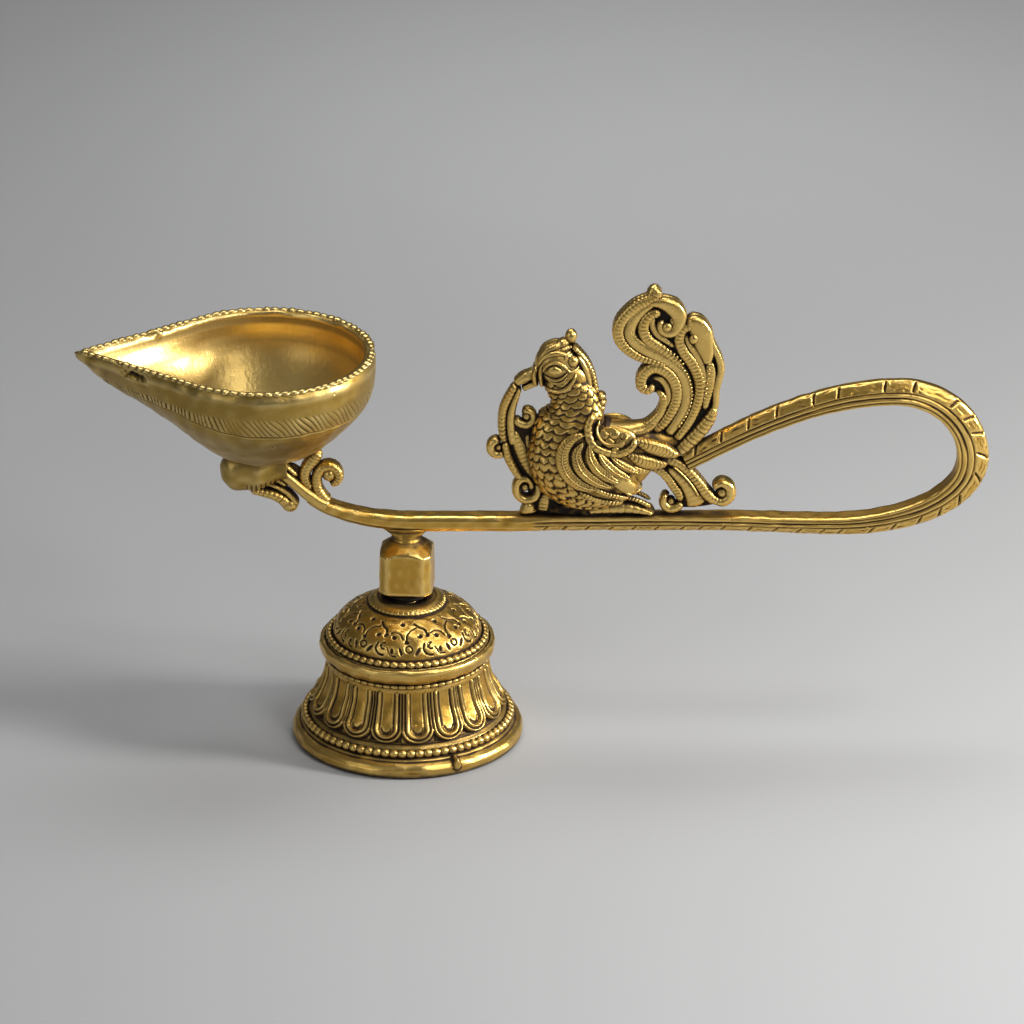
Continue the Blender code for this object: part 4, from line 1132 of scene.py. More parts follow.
def bowl_grid(radius, tip, height, turn):
    """A row for each radius, tip and height; a column for each angle."""
    reach = bowl_reach(turn[None], np.asarray(radius)[:, None], np.asarray(tip)[:, None])
    height = np.asarray(height)[:, None] + 0 * reach
    return np.stack([BOWL_X + reach * np.cos(turn), reach * np.sin(turn), height], 2)


print(
    "bowl: radius", round(BOWL_RADIUS, 1), "tip", round(BOWL_TIP, 1), "depth", round(BOWL_DEPTH, 1), "mm"
)


# %% Bowl
def engraved_belt(height, turn, around):
    """Hatches and punches between two heights: grooves at whole numbers of (distance round + slant *
    height) / pitch."""
    rise = (height - BOWL_FOOT_Z) / BOWL_DEPTH
    toward_tip = soft_step(1.5, 2.6, np.abs(turn))
    low, high = 0.56 + 0.11 * toward_tip, 0.75 - 0.015 * toward_tip
    inside = soft_step(low - 0.01, low + 0.025, rise) * soft_step(high + 0.02, high - 0.02, rise)
    hatch = (around + (0.75 - toward_tip) * (height - 105) * 1.1 + 0.35 * np.sin(around * 0.7)) / 1.75
    groove = ridge((hatch - np.round(hatch)) * 1.75, 0.85 + 0.35 * toward_tip)
    patchy = 0.55 + 0.45 * np.sin(around * 0.31) * np.sin(around * 0.13 + 1)
    line = ridge((rise - low + 0.012) * BOWL_DEPTH, 0.8)
    return -0.36 * groove * inside * np.maximum(patchy, toward_tip) - 0.3 * line * (1 - 0.5 * toward_tip)


WALL_ROWS, BOWL_COLUMNS = 100, 660
RIM_WIDTH = 3.0
GOUGE_TURN, NICK_TURN = -2.81, 2.72  # the two casting faults at the lip, in radians from the round end


def bowl_profile():
    """Rows of (radius, tip, height): the outer wall from the foot up, the sloping rim, and the inner wall
    down to the floor. The wall's rows stand closest where the belt is. Also the number of rows inside."""
    fine = curve(BOWL_WALL, count=600)
    weight = np.cumsum(1 + 2.4 * (np.abs(fine[:, 2] - 0.66) < 0.14))
    pick = np.interp(np.linspace(weight[0], weight[-1], WALL_ROWS), weight, np.arange(600))
    wall = fine[np.round(pick).astype(int)]
    outer = np.array([0, 0, BOWL_FOOT_Z]) + wall * [BOWL_RADIUS, BOWL_TIP, BOWL_DEPTH]
    rim_share = np.array([0.12, 0.3, 0.5, 0.7, 0.88, 1.0])[:, None]
    rim = outer[-1] + rim_share * [-RIM_WIDTH + 0.7, -RIM_WIDTH * 1.6, 0.0]
    rim[:, 2:] += 0.3 * np.sin(np.pi * rim_share)
    radius, tip, rise = fine[::-1][24:550:22].T
    inner = np.stack([
        radius**0.8 * BOWL_RADIUS - 2.7 + 0.1 * (1 - rise),
        tip * BOWL_TIP - 4.9 + 1.6 * (1 - rise),
        BOWL_FOOT_Z + 2.6 + rise * (BOWL_DEPTH - 2.6),
    ], 1)
    floor = inner[-1] * [0.6, 0.5, 1] + [0, 0, -0.4]
    return np.vstack([[[4.0, 4.0, BOWL_FOOT_Z]], outer, rim, inner, [floor]]), len(inner)


def bowl_shell(profile):
    """The profile's rows taken round the outline, as one skin: the foot and the floor are closed by a
    fan. The belt, slow unevenness, a gouge and a nick at the lip and a pin hole in the front are raised
    on it."""
    turn = np.linspace(-np.pi, np.pi, BOWL_COLUMNS, endpoint=False)
    grid = bowl_grid(profile[:, 0], profile[:, 1], profile[:, 2], turn)
    row = np.arange(len(profile))
    on_wall = ((row > 1) & (row <= WALL_ROWS))[:, None]
    around = lengths(bowl_grid([BOWL_RADIUS], [BOWL_TIP], [0], turn)[0])
    x, y, z = grid[:, :, 0], grid[:, :, 1], grid[:, :, 2]
    relief = engraved_belt(z, turn[None], around[None]) * on_wall
    relief = relief + 0.1 * lumps(grid, 7.0, 21) * (row < WALL_ROWS + 6)[:, None]
    gouge = ridge(turn[None] - GOUGE_TURN, 0.24) * ridge(z - (BOWL_RIM_Z - 2.3), 3.6)
    relief = relief - 2.8 * gouge * (0.75 + 0.35 * lumps(grid, 2.2, 22)) * (row < WALL_ROWS + 5)[:, None]
    nick = ridge(turn[None] - NICK_TURN, 0.09) * ridge(z - BOWL_RIM_Z, 3.0)
    relief = relief + 0.6 * nick * (row < WALL_ROWS + 8)[:, None]
    from_pin = np.hypot(x - BOWL_X - 3.0, z - BOWL_FOOT_Z - 12.6)
    from_pin = np.where(y < 0, from_pin, 9.0)
    relief = relief - 0.8 * ridge(from_pin, 1.2) * on_wall
    stain_and_shade = 1.3 * soft_step(0.1, 0.5, gouge) + 0.8 * ridge(from_pin, 1.3) * on_wall
    stain_and_shade = stain_and_shade + 0.22 * ((row > WALL_ROWS) & (row < WALL_ROWS + 6))[:, None]
    return shell(grid, stain_and_shade=stain_and_shade, raised=relief)


bowl_rows, inner_rows = bowl_profile()
bowl_piece = piece("oil_bowl", bowl_shell(bowl_rows), bowl_skin, "arm", ["bowl"])
# The one skin carries two brasses: the duller outside with the rim, and the wiped inside.
bowl_piece.data.materials.append(bowl_inside)
first_inside = (len(bowl_rows) - inner_rows - 2) * BOWL_COLUMNS
which = (np.arange(len(bowl_piece.data.polygons)) >= first_inside).astype(np.int32)
which[-2 * BOWL_COLUMNS : -BOWL_COLUMNS] = 0
bowl_piece.data.polygons.foreach_set("material_index", which)
print("bowl faces inside:", int(which.sum()))


# %% Rim beads and rivet
BEAD_PITCH = 2.45


def rim_beads():
    """A tube along the rim's outer edge whose radius swells once a bead."""
    turn = np.linspace(-np.pi, np.pi, 1200, endpoint=False)
    edge = bowl_grid([BOWL_RADIUS - 1.15], [BOWL_TIP - 2.0], [BOWL_RIM_Z + 0.15], turn)[0]
    edge = even_steps(np.vstack([edge, edge[:1]]), count=801)[:-1]
    along = lengths(edge)
    beads = round(along[-1] / BEAD_PITCH)
    uneven = 1 + 0.12 * np.sin(along * 0.9) + 0.1 * np.sin(along * 0.37 + 2)
    swell = (0.5 + 0.5 * np.abs(np.sin(np.pi * beads * along / along[-1])) ** 0.8) * uneven
    worn = 1 - 0.5 * ridge(along - 12.0, 9) - 0.25 * ridge(along - along[-1] + 22, 14)
    return shell(swept(edge, 1.15 * swell * worn, 0.7 * swell * worn, 10, up=(0, 0, 1)), closed_rows=True)


piece("bowl_rim_beads", rim_beads(), bowl_skin, "arm")


def rivet_shell():
    """The rivet's round head on the bowl's floor, over its shank."""
    low, high = box_mm("bowl_rivet")
    head = (high[0] - low[0]) / 2
    line = [
        (1.9, low[2]), (1.9, high[2] - 1.1), (head * 0.98, high[2] - 1.1), (head, high[2] - 0.85),
        (head * 0.9, high[2] - 0.45), (head * 0.66, high[2] - 0.15), (head * 0.3, high[2])
    ]
    line = np.array(line)
    return shell(turned(line[:, :1] + np.zeros((1, 48)), line[:, 1:] + np.zeros((1, 48)), BOWL_X))


piece("bowl_rivet_head", rivet_shell(), bowl_inside, "arm", ["bowl_rivet"])

# %% [markdown]
# ## The bracket
#
# Under the bowl the casting opens into leaves: a plump pad that carries the bowl, a notched leaf that
# ends in a lobe, a strut, a prop with cross cuts, and a scroll that curls over on the handle. Each is a
# strand: a swept bar with nicks.


# %% Bracket pad
def seat_shell():
    """Superellipses across X: each row's half width and height grow from the rounded left end as sqrt(1 -
    (1 - share)^2.4), and shrink again to the right."""
    low, high = box_mm("bowl_seat")
    share = np.linspace(0.003, 1, 90)[:, None] ** 1.4
    turn = np.linspace(0, 2 * np.pi, 96, endpoint=False)[None]
    full = np.sqrt(1 - (1 - np.clip(share / 0.32, 0, 1)) ** 2.4) * (1 - 0.3 * soft_step(0.5, 1.0, share))
    tall = (high[2] - low[2]) / 2 * full
    wide = (high[1] - low[1]) / 2 * full
    middle = high[2] + 0.2 - (high[2] - low[2]) / 2 * (0.9 + 0.1 * full) + 1.2 * soft_step(0.5, 1, share)
    x = low[0] + (high[0] - low[0]) * share + 0 * turn
    c = np.sign(np.cos(turn)) * np.abs(np.cos(turn)) ** 0.8
    s = np.sign(np.sin(turn)) * np.abs(np.sin(turn)) ** 0.8
    grid = np.stack([x, wide * c, middle + tall * s], 2)
    under = soft_step(middle - 2, middle - 4, grid[:, :, 2]) * soft_step(-82.0, -80, x)
    notch = -0.5 * (1 - nicks(x / 1.35, 1.6)) * under
    stain_and_shade = 0.6 * soft_step(0.72, 0.95, share) + 0 * turn
    return shell(grid, stain_and_shade=stain_and_shade, raised=0.16 * lumps(grid, 5.0, 31) + notch)


piece("bracket_pad", seat_shell(), bowl_skin, "arm", ["bowl_seat"])

# %% Bracket leaves
leaf = [
    strand(
        [(-80.4, 76.4), (-77.0, 75.6), (-73.4, 74.6), (-70.8, 73.0), (-69.4, 71.3)], [1.2, 1.6, 1.9], 2.9,
        1.35, 0.24
    ),
    strand(
        [(-76.6, 78.6), (-73.4, 77.6), (-70.0, 75.6), (-67.6, 72.9), (-66.8, 70.9)], [0.5, 0.9, 1.0], 2.5,
        2.4, 0.12
    ),
    ball((-69.0, 0, 71.4), (2.5, 2.7, 2.4)),
]
piece("bracket_leaf_lobe", leaf, satin, "arm", ["bracket_leaf"])
strut_line = [
    (-57.6, 70.9), (-61.0, 72.7), (-63.4, 74.6), (-66.4, 77.2), (-69.6, 80.2), (-72.4, 82.6),
    (-74.6, 83.2)
]
strut = [
    strand(
        strut_line, [1.9, 2.0, 1.9, 1.7, 1.6, 1.7, 1.3], [3.2, 3.3, 3.1, 2.7], 3.0, 0.0, columns=32,
        square=3.0
    ),
    strand([(-66.4, 80.4), (-69.2, 83.0), (-72.2, 84.9), (-75.2, 84.6)], [0.7, 0.9, 0.9], 2.6, 1.2, 0.22),
    strand([(-76.4, 80.0), (-74.8, 80.6), (-72.2, 79.2), (-69.4, 77.2)], [1.2, 1.0, 0.6], 2.2, 1.3, 0.2),
]
piece("bracket_cross_strut", strut, satin, "arm", ["bracket_strut"])
prop = strand(
    [(-62.6, 76.0), (-64.6, 79.4), (-64.2, 82.6), (-62.2, 85.6), (-60.2, 88.4)],
    [0.9, 1.6, 1.8, 2.0, 1.6], 2.4, 1.05, 0.2
)
piece("bracket_fan", prop, satin, "arm", ["bracket_prop"])
curl = [
    (-58.0, 71.6), (-60.0, 74.2), (-61.2, 77.2), (-61.2, 80.4), (-59.8, 82.9), (-57.4, 83.5),
    (-55.5, 82.2), (-55.0, 80.0), (-56.2, 78.4), (-57.8, 78.6)
]
scroll = [
    strand(curl, [2.0, 1.9, 1.6, 1.6, 1.6, 1.6, 1.5, 1.4, 1.0], 2.6, 1.1, 0.18, columns=22),
    ball((-57.7, 0, 80.9), (2.3, 2.7, 2.3)),
]
piece("bracket_scroll_curl", scroll, satin, "arm", ["bracket_scroll"])
# A dark web fills the gaps between the strut and the pad: a sheet of painted shade where the gaps are
# shaded.
shade = strand(
    [(-61.4, 74.6), (-65.0, 78.0), (-69.6, 81.6), (-74.0, 83.4)], [1.0, 3.2, 3.0, 1.0], 1.2, 2.0, 0.0
)
piece("bracket_painted_shade_web", shade, dark_ground_and_shade, "arm")

# %% [markdown]
# ## The peacock
#
# The bird is one solid casting, modelled the same on both sides. Its body is a swept grid whose line runs
# from the crown down the neck, round the breast and out to the tail, and scales are raised on it.
# Everything else lies on that body or in front of it: lids and beak, a wing of barbed feathers, a garland
# that hangs from the beak, and the tail's strands. Each is drawn on the near side, laid on the body's own
# surface, and repeated on the far side.

# %% Places on the bird
BIRD = np.array([STEM_X + 55.4, BAR_Z + 2.15])


def on_bird(points):
    """(x, z) on the bird, from the middle of its foot, as (x, z) in the lamp's frame. A third number
    stays as it is."""
    points = np.asarray(points, float)
    return np.hstack([points[:, :2] + BIRD, points[:, 2:]])


def bird_ball(x, z, radii, y=0.0, rows=12, columns=16):
    """An ellipsoid at a place on the bird."""
    return ball((BIRD[0] + x, y, BIRD[1] + z), radii, rows, columns)


def both(shells):
    """Shells on the near side, and the same on the far side."""
    return shells + [other_side(one) for one in shells]


def bird_piece(name, shells, nodes=()):
    """A piece of the bird, in its own dark brass."""
    return piece(name, shells, bird_brass, "arm", nodes)


# %% Body with scales
SPINE = [  # x, z, thickness in the plane of the lamp, width across it
    (-12.4, 52.6, 3.0, 2.4),
    (-12.3, 50.4, 8.6, 6.4),
    (-11.8, 46.4, 12.2, 9.0),
    (-9.8, 41.6, 12.4, 8.8),
    (-7.9, 36.8, 12.8, 9.0),
    (-7.6, 31.6, 15.8, 10.4),
    (-8.9, 25.4, 22.0, 12.6),
    (-6.8, 18.2, 28.0, 14.0),
    (0.6, 15.6, 27.4, 14.4),
    (7.4, 18.6, 20.8, 13.0),
    (13.0, 21.4, 14.2, 9.6),
    (18.6, 22.6, 8.0, 6.0),
    (22.0, 22.9, 3.0, 2.4),
]


SCALE_ROW, SCALE_WIDTH = 1.95, 2.75  # mm from row to row of scales, and from scale to scale


def scale_relief(row, share, counts):
    """Overlapping scales. row counts rows down from the head, share goes once round the body, and counts
    says how many scales a row has. A scale is straight-sided for one row, then ends in a half ellipse.
    The scale nearer the head lies on top, and its height grows towards its tip, so that each tip stands
    over the next row."""
    height = np.zeros(row.shape)
    settled = np.zeros(row.shape, bool)
    for back in (1, 0):
        start = np.floor(row) - back
        down = row - start
        number = counts[np.clip(start.astype(int), 0, len(counts) - 1)]
        beside = (share * number + 0.5 * (start % 2) + 0.5) % 1 - 0.5
        inside = (beside / 0.54) ** 2 + (np.maximum(down - 0.75, 0) / 0.95) ** 2 < 1
        tile = down / 1.7 - 0.9 * beside**2
        height = np.where(inside & ~settled, tile, height)
        settled |= inside
    return height


def bird_body():
    """The swept body; scales cover the neck, breast and belly, and fade under the wing and on the face.
    Rows are counted along each line of the grid by its own length, so scales keep their size round the
    breast."""
    line = curve(SPINE, gap=0.24)
    path = np.insert(line[:, :2] + BIRD, 1, 0.0, axis=1)
    columns = 190
    grid = swept(path, line[:, 2] / 2, line[:, 3] / 2, columns, square=2.5)
    step = np.linalg.norm(np.diff(grid, axis=0), axis=2)
    down = np.vstack([np.zeros((1, columns)), np.cumsum(step, axis=0)])
    middle = lengths(path)
    row = (0.5 * down + 0.5 * middle[:, None]) / SCALE_ROW + 0.06 * lumps(grid, 6.0, 43)
    girth = np.linalg.norm(np.roll(grid, -1, 1) - grid, axis=2).sum(1)
    at_row = np.interp(np.arange(40) * SCALE_ROW, middle, girth)
    counts = np.round(at_row / SCALE_WIDTH)
    share = np.broadcast_to(np.linspace(0, 1, columns, endpoint=False), row.shape)
    x, z = grid[:, :, 0] - BIRD[0], grid[:, :, 2] - BIRD[1]
    bare = np.maximum.reduce([
        soft_step(43.0, 45.0, z + 0.35 * x + 4.4),
        soft_step(12.6, 11.6, np.hypot((x - 1.5) / 1.05, (z - 19.0))),
        soft_step(5.0, 9.0, x),
    ])
    relief = 0.62 * scale_relief(row, share, counts) * (1 - bare) + 0.1 * lumps(grid, 5.0, 41)
    return shell(grid, stain_and_shade=0.15 * bare, raised=relief)


body_shell = bird_body()
bird_piece("peacock_body_scaled", body_shell, ["peacock_body"])

# %% [markdown]
# ### Laying strands on the body
#
# A feather on a casting follows the skin under it. So a line is drawn flat, from the side, and each of
# its places is moved out to the body, the head or the shoulder, whichever stands nearest to the eye
# there.


# %% Strands on the body
head = bird_ball(-12.9, 46.9, (6.2, 4.7, 6.4), rows=40, columns=64)
shoulder = bird_ball(3.2, 25.0, (6.6, 1.9, 4.4), y=-4.6, rows=40, columns=64)
near_skins = []
for shape, middle in ((body_shell, 0), (head, 0), (shoulder, -4.6)):
    points = shape[0]
    near_skins.append(points[points[:, 1] <= middle])


def drape(points, lift):
    """(x, z) points laid on the near side: on each skin, y is the mean of the four nearest places, the
    outermost skin counts, and lift stands the line off it. Then y is smoothed over five places."""
    path = curve(on_bird(points)[:, :2], gap=0.6)
    y = np.zeros(len(path))
    for skin in near_skins:
        away = (path[:, :1] - skin[:, 0]) ** 2 + (path[:, 1:2] - skin[:, 2]) ** 2
        nearest = np.argsort(away, axis=1)[:, :4]
        close = np.take_along_axis(away, nearest, 1).min(1) < 1.2
        y = np.where(close, np.minimum(y, skin[nearest, 1].mean(1)), y)
    y = np.convolve(np.pad(y, 2, mode="edge"), np.full(5, 0.2), mode="valid")
    return np.stack([path[:, 0], y - lift, path[:, 1]], 1)


def laid(points, across, out, lift=0.1, **more):
    """A strand laid on the body."""
    return strand(drape(points, lift), across, out, **more)


def in_plane(points, across, out, **more):
    """A strand in the lamp's middle plane, thick enough to show on both sides."""
    return strand(on_bird(points), across, out, **more)


print("bird skin:", sum(len(skin) for skin in near_skins), "points on the near side")

# %% [markdown]
# ### The head
#
# The face is drawn with cords: two lids and a line round a raised eye, a cheek, a brow, a cap that leads
# to the crest and a ringed ear. The beak is two square bars that hold the garland, and the crest is a
# nicked ridge down the nape.

# %% Head
eye = [
    laid(
        [(-17.0, 45.4), (-15.6, 48.0), (-12.8, 48.9), (-10.6, 47.6), (-9.6, 46.0)], [0.3, 0.5, 0.55, 0.4],
        0.8, 0.0, depth=0, columns=12
    ),
    laid(
        [(-16.6, 45.0), (-14.6, 43.6), (-12.0, 43.7), (-9.8, 45.6)], [0.3, 0.45, 0.45, 0.3], 0.7, 0.0,
        depth=0, columns=12
    ),
    laid(
        [(-16.0, 44.0), (-14.0, 42.7), (-11.6, 42.9), (-9.9, 44.4)], [0.25, 0.4, 0.25], 0.6, 0.0, depth=0,
        columns=12
    ),
    laid([(-15.8, 46.0), (-13.6, 46.6), (-11.2, 46.1)], [0.6, 1.55, 0.6], 0.9, 0.0, depth=0, columns=16),
    laid(
        [(-17.9, 44.8), (-17.0, 41.9), (-14.2, 40.2), (-11.0, 40.6), (-8.4, 42.9), (-7.4, 45.4)],
        [0.4, 0.6, 0.6, 0.4], 0.75, 0.0, depth=0, columns=12
    ),
    laid(
        [(-18.2, 46.8), (-17.0, 49.4), (-14.4, 51.0), (-11.4, 51.2), (-9.6, 50.2)],
        [0.45, 0.65, 0.7, 0.5], 0.85, 0.0, depth=0, columns=12
    ),
    laid(
        [(-18.0, 48.8), (-16.0, 51.4), (-12.8, 52.8), (-10.2, 52.9)], [0.4, 0.8, 0.9, 0.7], 1.0, 0.1,
        depth=0, columns=14
    ),
    laid([(-11.8, 51.9), (-9.6, 52.3), (-8.2, 51.8)], [0.6, 0.8, 0.5], 0.9, 0.3, pitch=0.95, depth=0.3),
    laid([(-10.6, 49.3), (-10.1, 50.9), (-8.8, 51.4)], 0.4, 0.8, 0.0, depth=0, columns=12),
]
ear = drape([(-8.4, 48.6), (-8.3, 48.5)], 0.1)[0]
eye += [
    ball(ear, (1.7, 1.3, 1.75)),
    laid(
        [(-10.3, 47.4), (-9.0, 45.9), (-7.0, 46.6), (-6.4, 48.4)], [0.3, 0.4, 0.4, 0.3], 0.6, 0.0,
        depth=0, columns=12
    ),
]
bird_piece("peacock_head", [head] + both(eye))

# %% Beak and crest
beak = [
    in_plane(
        [(-17.6, 44.3), (-20.2, 43.6), (-22.6, 42.4), (-24.6, 40.9)], [1.5, 1.45, 1.35, 1.2],
        [2.6, 2.3, 2.1, 1.8], depth=0, columns=24, square=3.2, taper=0.5
    ),
    in_plane(
        [(-18.0, 41.6), (-20.4, 40.5), (-22.6, 39.2)], [1.1, 1.0, 0.9], [2.2, 2.0, 1.7], depth=0,
        columns=24, square=3.2, taper=0.5
    ),
    in_plane(
        [(-18.2, 47.2), (-19.2, 44.0), (-18.6, 40.2)], [0.8, 0.95, 0.8], [2.9, 3.9, 2.7], depth=0,
        columns=24
    ),
    in_plane(
        [(-16.6, 49.0), (-17.5, 45.0), (-16.9, 40.0)], [0.7, 0.8, 0.7], [3.2, 4.6, 3.2], depth=0,
        columns=24
    ),
    in_plane([(-20.6, 44.6), (-22.8, 43.5), (-24.8, 41.9)], 0.4, [2.3, 2.1, 1.8], depth=0, columns=16),
    in_plane([(-20.0, 42.5), (-22.0, 41.6), (-23.6, 40.5)], 0.35, [2.3, 2.1, 1.8], depth=0, columns=16),
]
bird_piece("peacock_beak_halves", beak, ["peacock_beak"])

crest = [
    bird_ball(-8.8, 55.2, (1.75, 1.8, 2.2)),
    in_plane(
        [(-8.8, 52.8), (-6.6, 50.6), (-4.2, 47.2), (-2.7, 43.4), (-2.0, 39.8), (-1.4, 37.6)],
        [1.0, 1.1, 0.95, 0.9], [2.4, 2.1, 1.7], pitch=1.15, depth=0.22
    ),
    in_plane(
        [(-7.6, 50.4), (-5.6, 47.6), (-4.1, 43.8), (-3.3, 39.6)], [0.9, 1.1, 0.9], [2.9, 2.9, 2.6],
        depth=0
    ),
    in_plane(
        [(-13.4, 52.0), (-11.0, 53.2), (-9.0, 53.6)], [1.0, 1.4, 1.2], [2.6, 2.4, 1.8], pitch=1.1,
        depth=0.2
    ),
    bird_ball(-0.5, 37.0, (1.7, 2.1, 1.275)),
    bird_ball(-0.3, 35.2, (1.7, 2.1, 1.275)),
    bird_ball(-0.5, 33.5, (1.5, 2.1, 1.125)),
]
bird_piece("peacock_crest_ridge", crest, ["peacock_crest"])

# %% [markdown]
# ### The wing
#
# Five long feathers sweep down from the shoulder, each with slanting barbs and a raised quill. The
# shoulder over them is a low swelling with two bands round it and small tongues on it, and the thigh and
# the rump's feathers lie behind.

# %% Wing feathers
FEATHERS = [  # points, half widths, height
    (
        [
            (-4.9, 27.6), (-8.6, 26.4), (-10.9, 23.2), (-11.1, 19.0), (-9.2, 15.0), (-5.6, 12.2),
            (-1.6, 11.0)
        ], [0.7, 1.6, 1.9, 2.0, 1.7, 0.8], 0.95
    ),
    (
        [(-5.4, 25.4), (-7.2, 22.2), (-6.4, 18.2), (-3.8, 15.0), (-0.4, 12.8), (2.6, 11.8)],
        [0.6, 1.5, 1.8, 1.8, 1.5, 0.6], 1.05
    ),
    (
        [(-3.6, 25.2), (-3.4, 21.4), (-1.4, 17.6), (1.6, 15.0), (5.0, 13.2)], [0.6, 1.5, 1.8, 1.7, 0.6],
        1.15
    ),
    ([(-1.0, 22.6), (0.8, 19.6), (3.4, 16.8), (6.4, 14.8), (8.4, 13.8)], [0.6, 1.4, 1.6, 1.4, 0.6], 1.25),
    ([(2.4, 21.2), (5.0, 18.8), (8.0, 16.9), (10.4, 15.8)], [0.5, 1.3, 1.3, 0.5], 1.2),
]
feathers = []
for line, wide, thick in FEATHERS:
    feathers.append(laid(
        line, wide, thick, 0.3, pitch=0.95, depth=0.16, lean=0.9, columns=26, square=3.0
    ))
    feathers.append(laid(line, 0.22, 0.3, 0.28 + thick, depth=0, columns=8))
bird_piece("wing_feathers", both(feathers))

# %% Shoulder
bands = [
    laid(
        [(-2.6, 33.4), (-4.1, 29.4), (-3.0, 25.0), (0.2, 22.6), (4.4, 21.7), (8.2, 23.6), (9.5, 26.2)],
        [1.0, 1.25, 1.3, 1.25, 0.9], 1.2, 0.5, pitch=1.7, depth=0.16
    ),
    laid(
        [(-0.7, 31.2), (-1.5, 28.4), (0.2, 25.6), (3.2, 24.7), (6.2, 26.0), (7.2, 27.4)], 0.45, 0.9, 0.4,
        depth=0, columns=12
    ),
]
TONGUES = [
    (0.4, 27.2, 1.5), (3.4, 27.6, 1.6), (6.4, 26.8, 1.4), (-1.0, 24.8, 1.3), (2.0, 25.0, 1.6),
    (5.0, 24.8, 1.5), (3.6, 23.0, 1.3)
]
for dx, dz, size in TONGUES:
    tongue = [(dx - 0.3, dz + size), (dx, dz), (dx + 0.2, dz - size)]
    bands.append(laid(
        tongue, [size * 0.9, size, size * 0.9], 0.5, 0.05 * (28 - dz), depth=0, columns=14, taper=1.4
    ))
bands.append(shoulder)
back = [(-4.4, 29.4), (-1.6, 27.2), (2.4, 26.3), (6.8, 26.3), (11.0, 27.0), (14.6, 28.8), (17.4, 31.2)]
back_strand = in_plane(
    back, [1.4, 2.3, 2.6, 2.5, 2.2, 1.7, 0.8], [3.4, 4.4, 5.0, 4.8, 3.8, 2.6, 1.6], depth=0, columns=40,
    square=2.2
)
bird_piece("wing_shoulder", both(bands) + [back_strand])

# %% Thigh
thigh = [
    laid(
        [(2.0, 17.6), (4.6, 13.8), (8.0, 10.6), (11.4, 8.6)], [0.8, 2.4, 2.0, 0.7], [0.8, 1.5, 1.3, 0.6],
        -0.2, depth=0, columns=22
    ),
    laid([(-3.4, 12.2), (0.4, 9.8), (4.2, 8.4), (7.6, 7.2)], 0.8, 1.0, 0.1, pitch=1.0, depth=0.28),
    laid([(-6.4, 10.2), (-2.4, 7.8), (2.0, 6.4), (6.0, 5.6)], 0.75, 0.9, -0.1, pitch=1.0, depth=0.28),
    laid([(6.4, 9.6), (9.0, 8.4), (11.6, 8.8)], 0.4, 0.5, 0.9, depth=0, columns=10),
]
bird_piece("peacock_thigh", both(thigh))

# %% Rump feathers
RUMP = [  # points, half widths
    ([(9.0, 25.6), (12.6, 23.8), (17.2, 21.8), (21.8, 19.8)], [0.9, 2.1, 2.2, 0.8]),
    ([(6.4, 21.6), (10.0, 19.4), (14.2, 17.8), (18.6, 17.2)], [0.7, 2.1, 2.1, 0.8]),
    ([(6.2, 18.0), (8.6, 16.6), (11.2, 15.6), (13.8, 15.6)], [0.6, 1.5, 1.4, 0.6]),
]
RUMP_SIDE = [-4.2, -4.4, -3.6, -2.8]  # how far out of the middle plane each feather runs
rump = []
for line, wide in RUMP:
    path = np.insert(on_bird(line), 1, RUMP_SIDE, axis=1)
    rump.append(strand(path, wide, 1.8, pitch=1.1, depth=0.17, lean=1.1, columns=26))
bird_piece("rump_feathers", both(rump))

# %% [markdown]
# ### The tail
#
# The raised tail is a dark flat web with strands of twisted and beaded cord laid on both faces. The web
# is a ruled grid: each row runs from a point on its left edge to the point on its right edge at the same
# share of the way.


# %% Webs
def web(left, right, half_thick, rows=90):
    """A ruled plate: rows from the left edge to the right edge, front (v from 0 to 1) and back again,
    with the thickness half_thick * sin(pi * v)^0.35, so that its edges are rounded."""
    a, b = curve(on_bird(left), rows), curve(on_bird(right), rows)
    v = np.r_[np.linspace(0, 1, 16), np.linspace(1, 0, 16)[1:-1]]
    side = np.r_[-np.ones(16), np.ones(14)]
    flat = a[:, None] + (b - a)[:, None] * v[None, :, None]
    y = side * half_thick * np.sin(np.pi * np.clip(v, 0.0, 1.0)) ** 0.35
    y = np.broadcast_to(y, flat.shape[:2])
    return shell(np.stack([flat[..., 0], y, flat[..., 1]], 2), stain_and_shade=0.35)


plume_left = [
    (14.2, 68.4), (9.9, 65.0), (6.8, 62.2), (4.9, 59.4), (4.4, 56.5), (5.4, 53.5), (7.8, 51.0),
    (10.8, 49.2), (14.4, 48.0), (18.0, 46.6), (20.4, 43.6), (21.4, 39.4), (21.2, 36.0), (19.6, 32.2),
    (16.8, 28.0), (14.6, 24.6)
]
plume_right = [
    (16.6, 67.6), (20.4, 64.0), (23.4, 61.8), (26.4, 59.2), (28.9, 56.2), (30.9, 51.6), (32.8, 48.0),
    (33.5, 45.0), (33.0, 42.4), (32.3, 39.1), (32.2, 35.1), (31.4, 31.4), (29.8, 28.4), (27.0, 25.0),
    (24.0, 21.8), (21.0, 19.8)
]
curl_left = [
    (11.6, 43.6), (10.6, 41.6), (11.2, 39.4), (13.2, 38.2), (16.0, 37.6), (17.6, 35.6), (16.4, 31.6),
    (13.6, 28.4), (11.2, 26.6)
]
curl_right = [
    (13.0, 46.0), (15.6, 46.2), (18.4, 44.8), (20.6, 42.4), (21.5, 39.4), (21.4, 36.3), (20.3, 33.2),
    (17.6, 28.9), (15.0, 25.4)
]
webs = [web(plume_left, plume_right, 1.35), web(curl_left, curl_right, 1.2, 50)]
piece("plume_web", webs, dark_ground_and_shade, "arm", ["tail_plume"])

# %% [markdown]
# Each strand is a line with its own widths, its height over the web, and the pitch and depth of its
# nicks. A pitch of two with no depth is a plain cord.

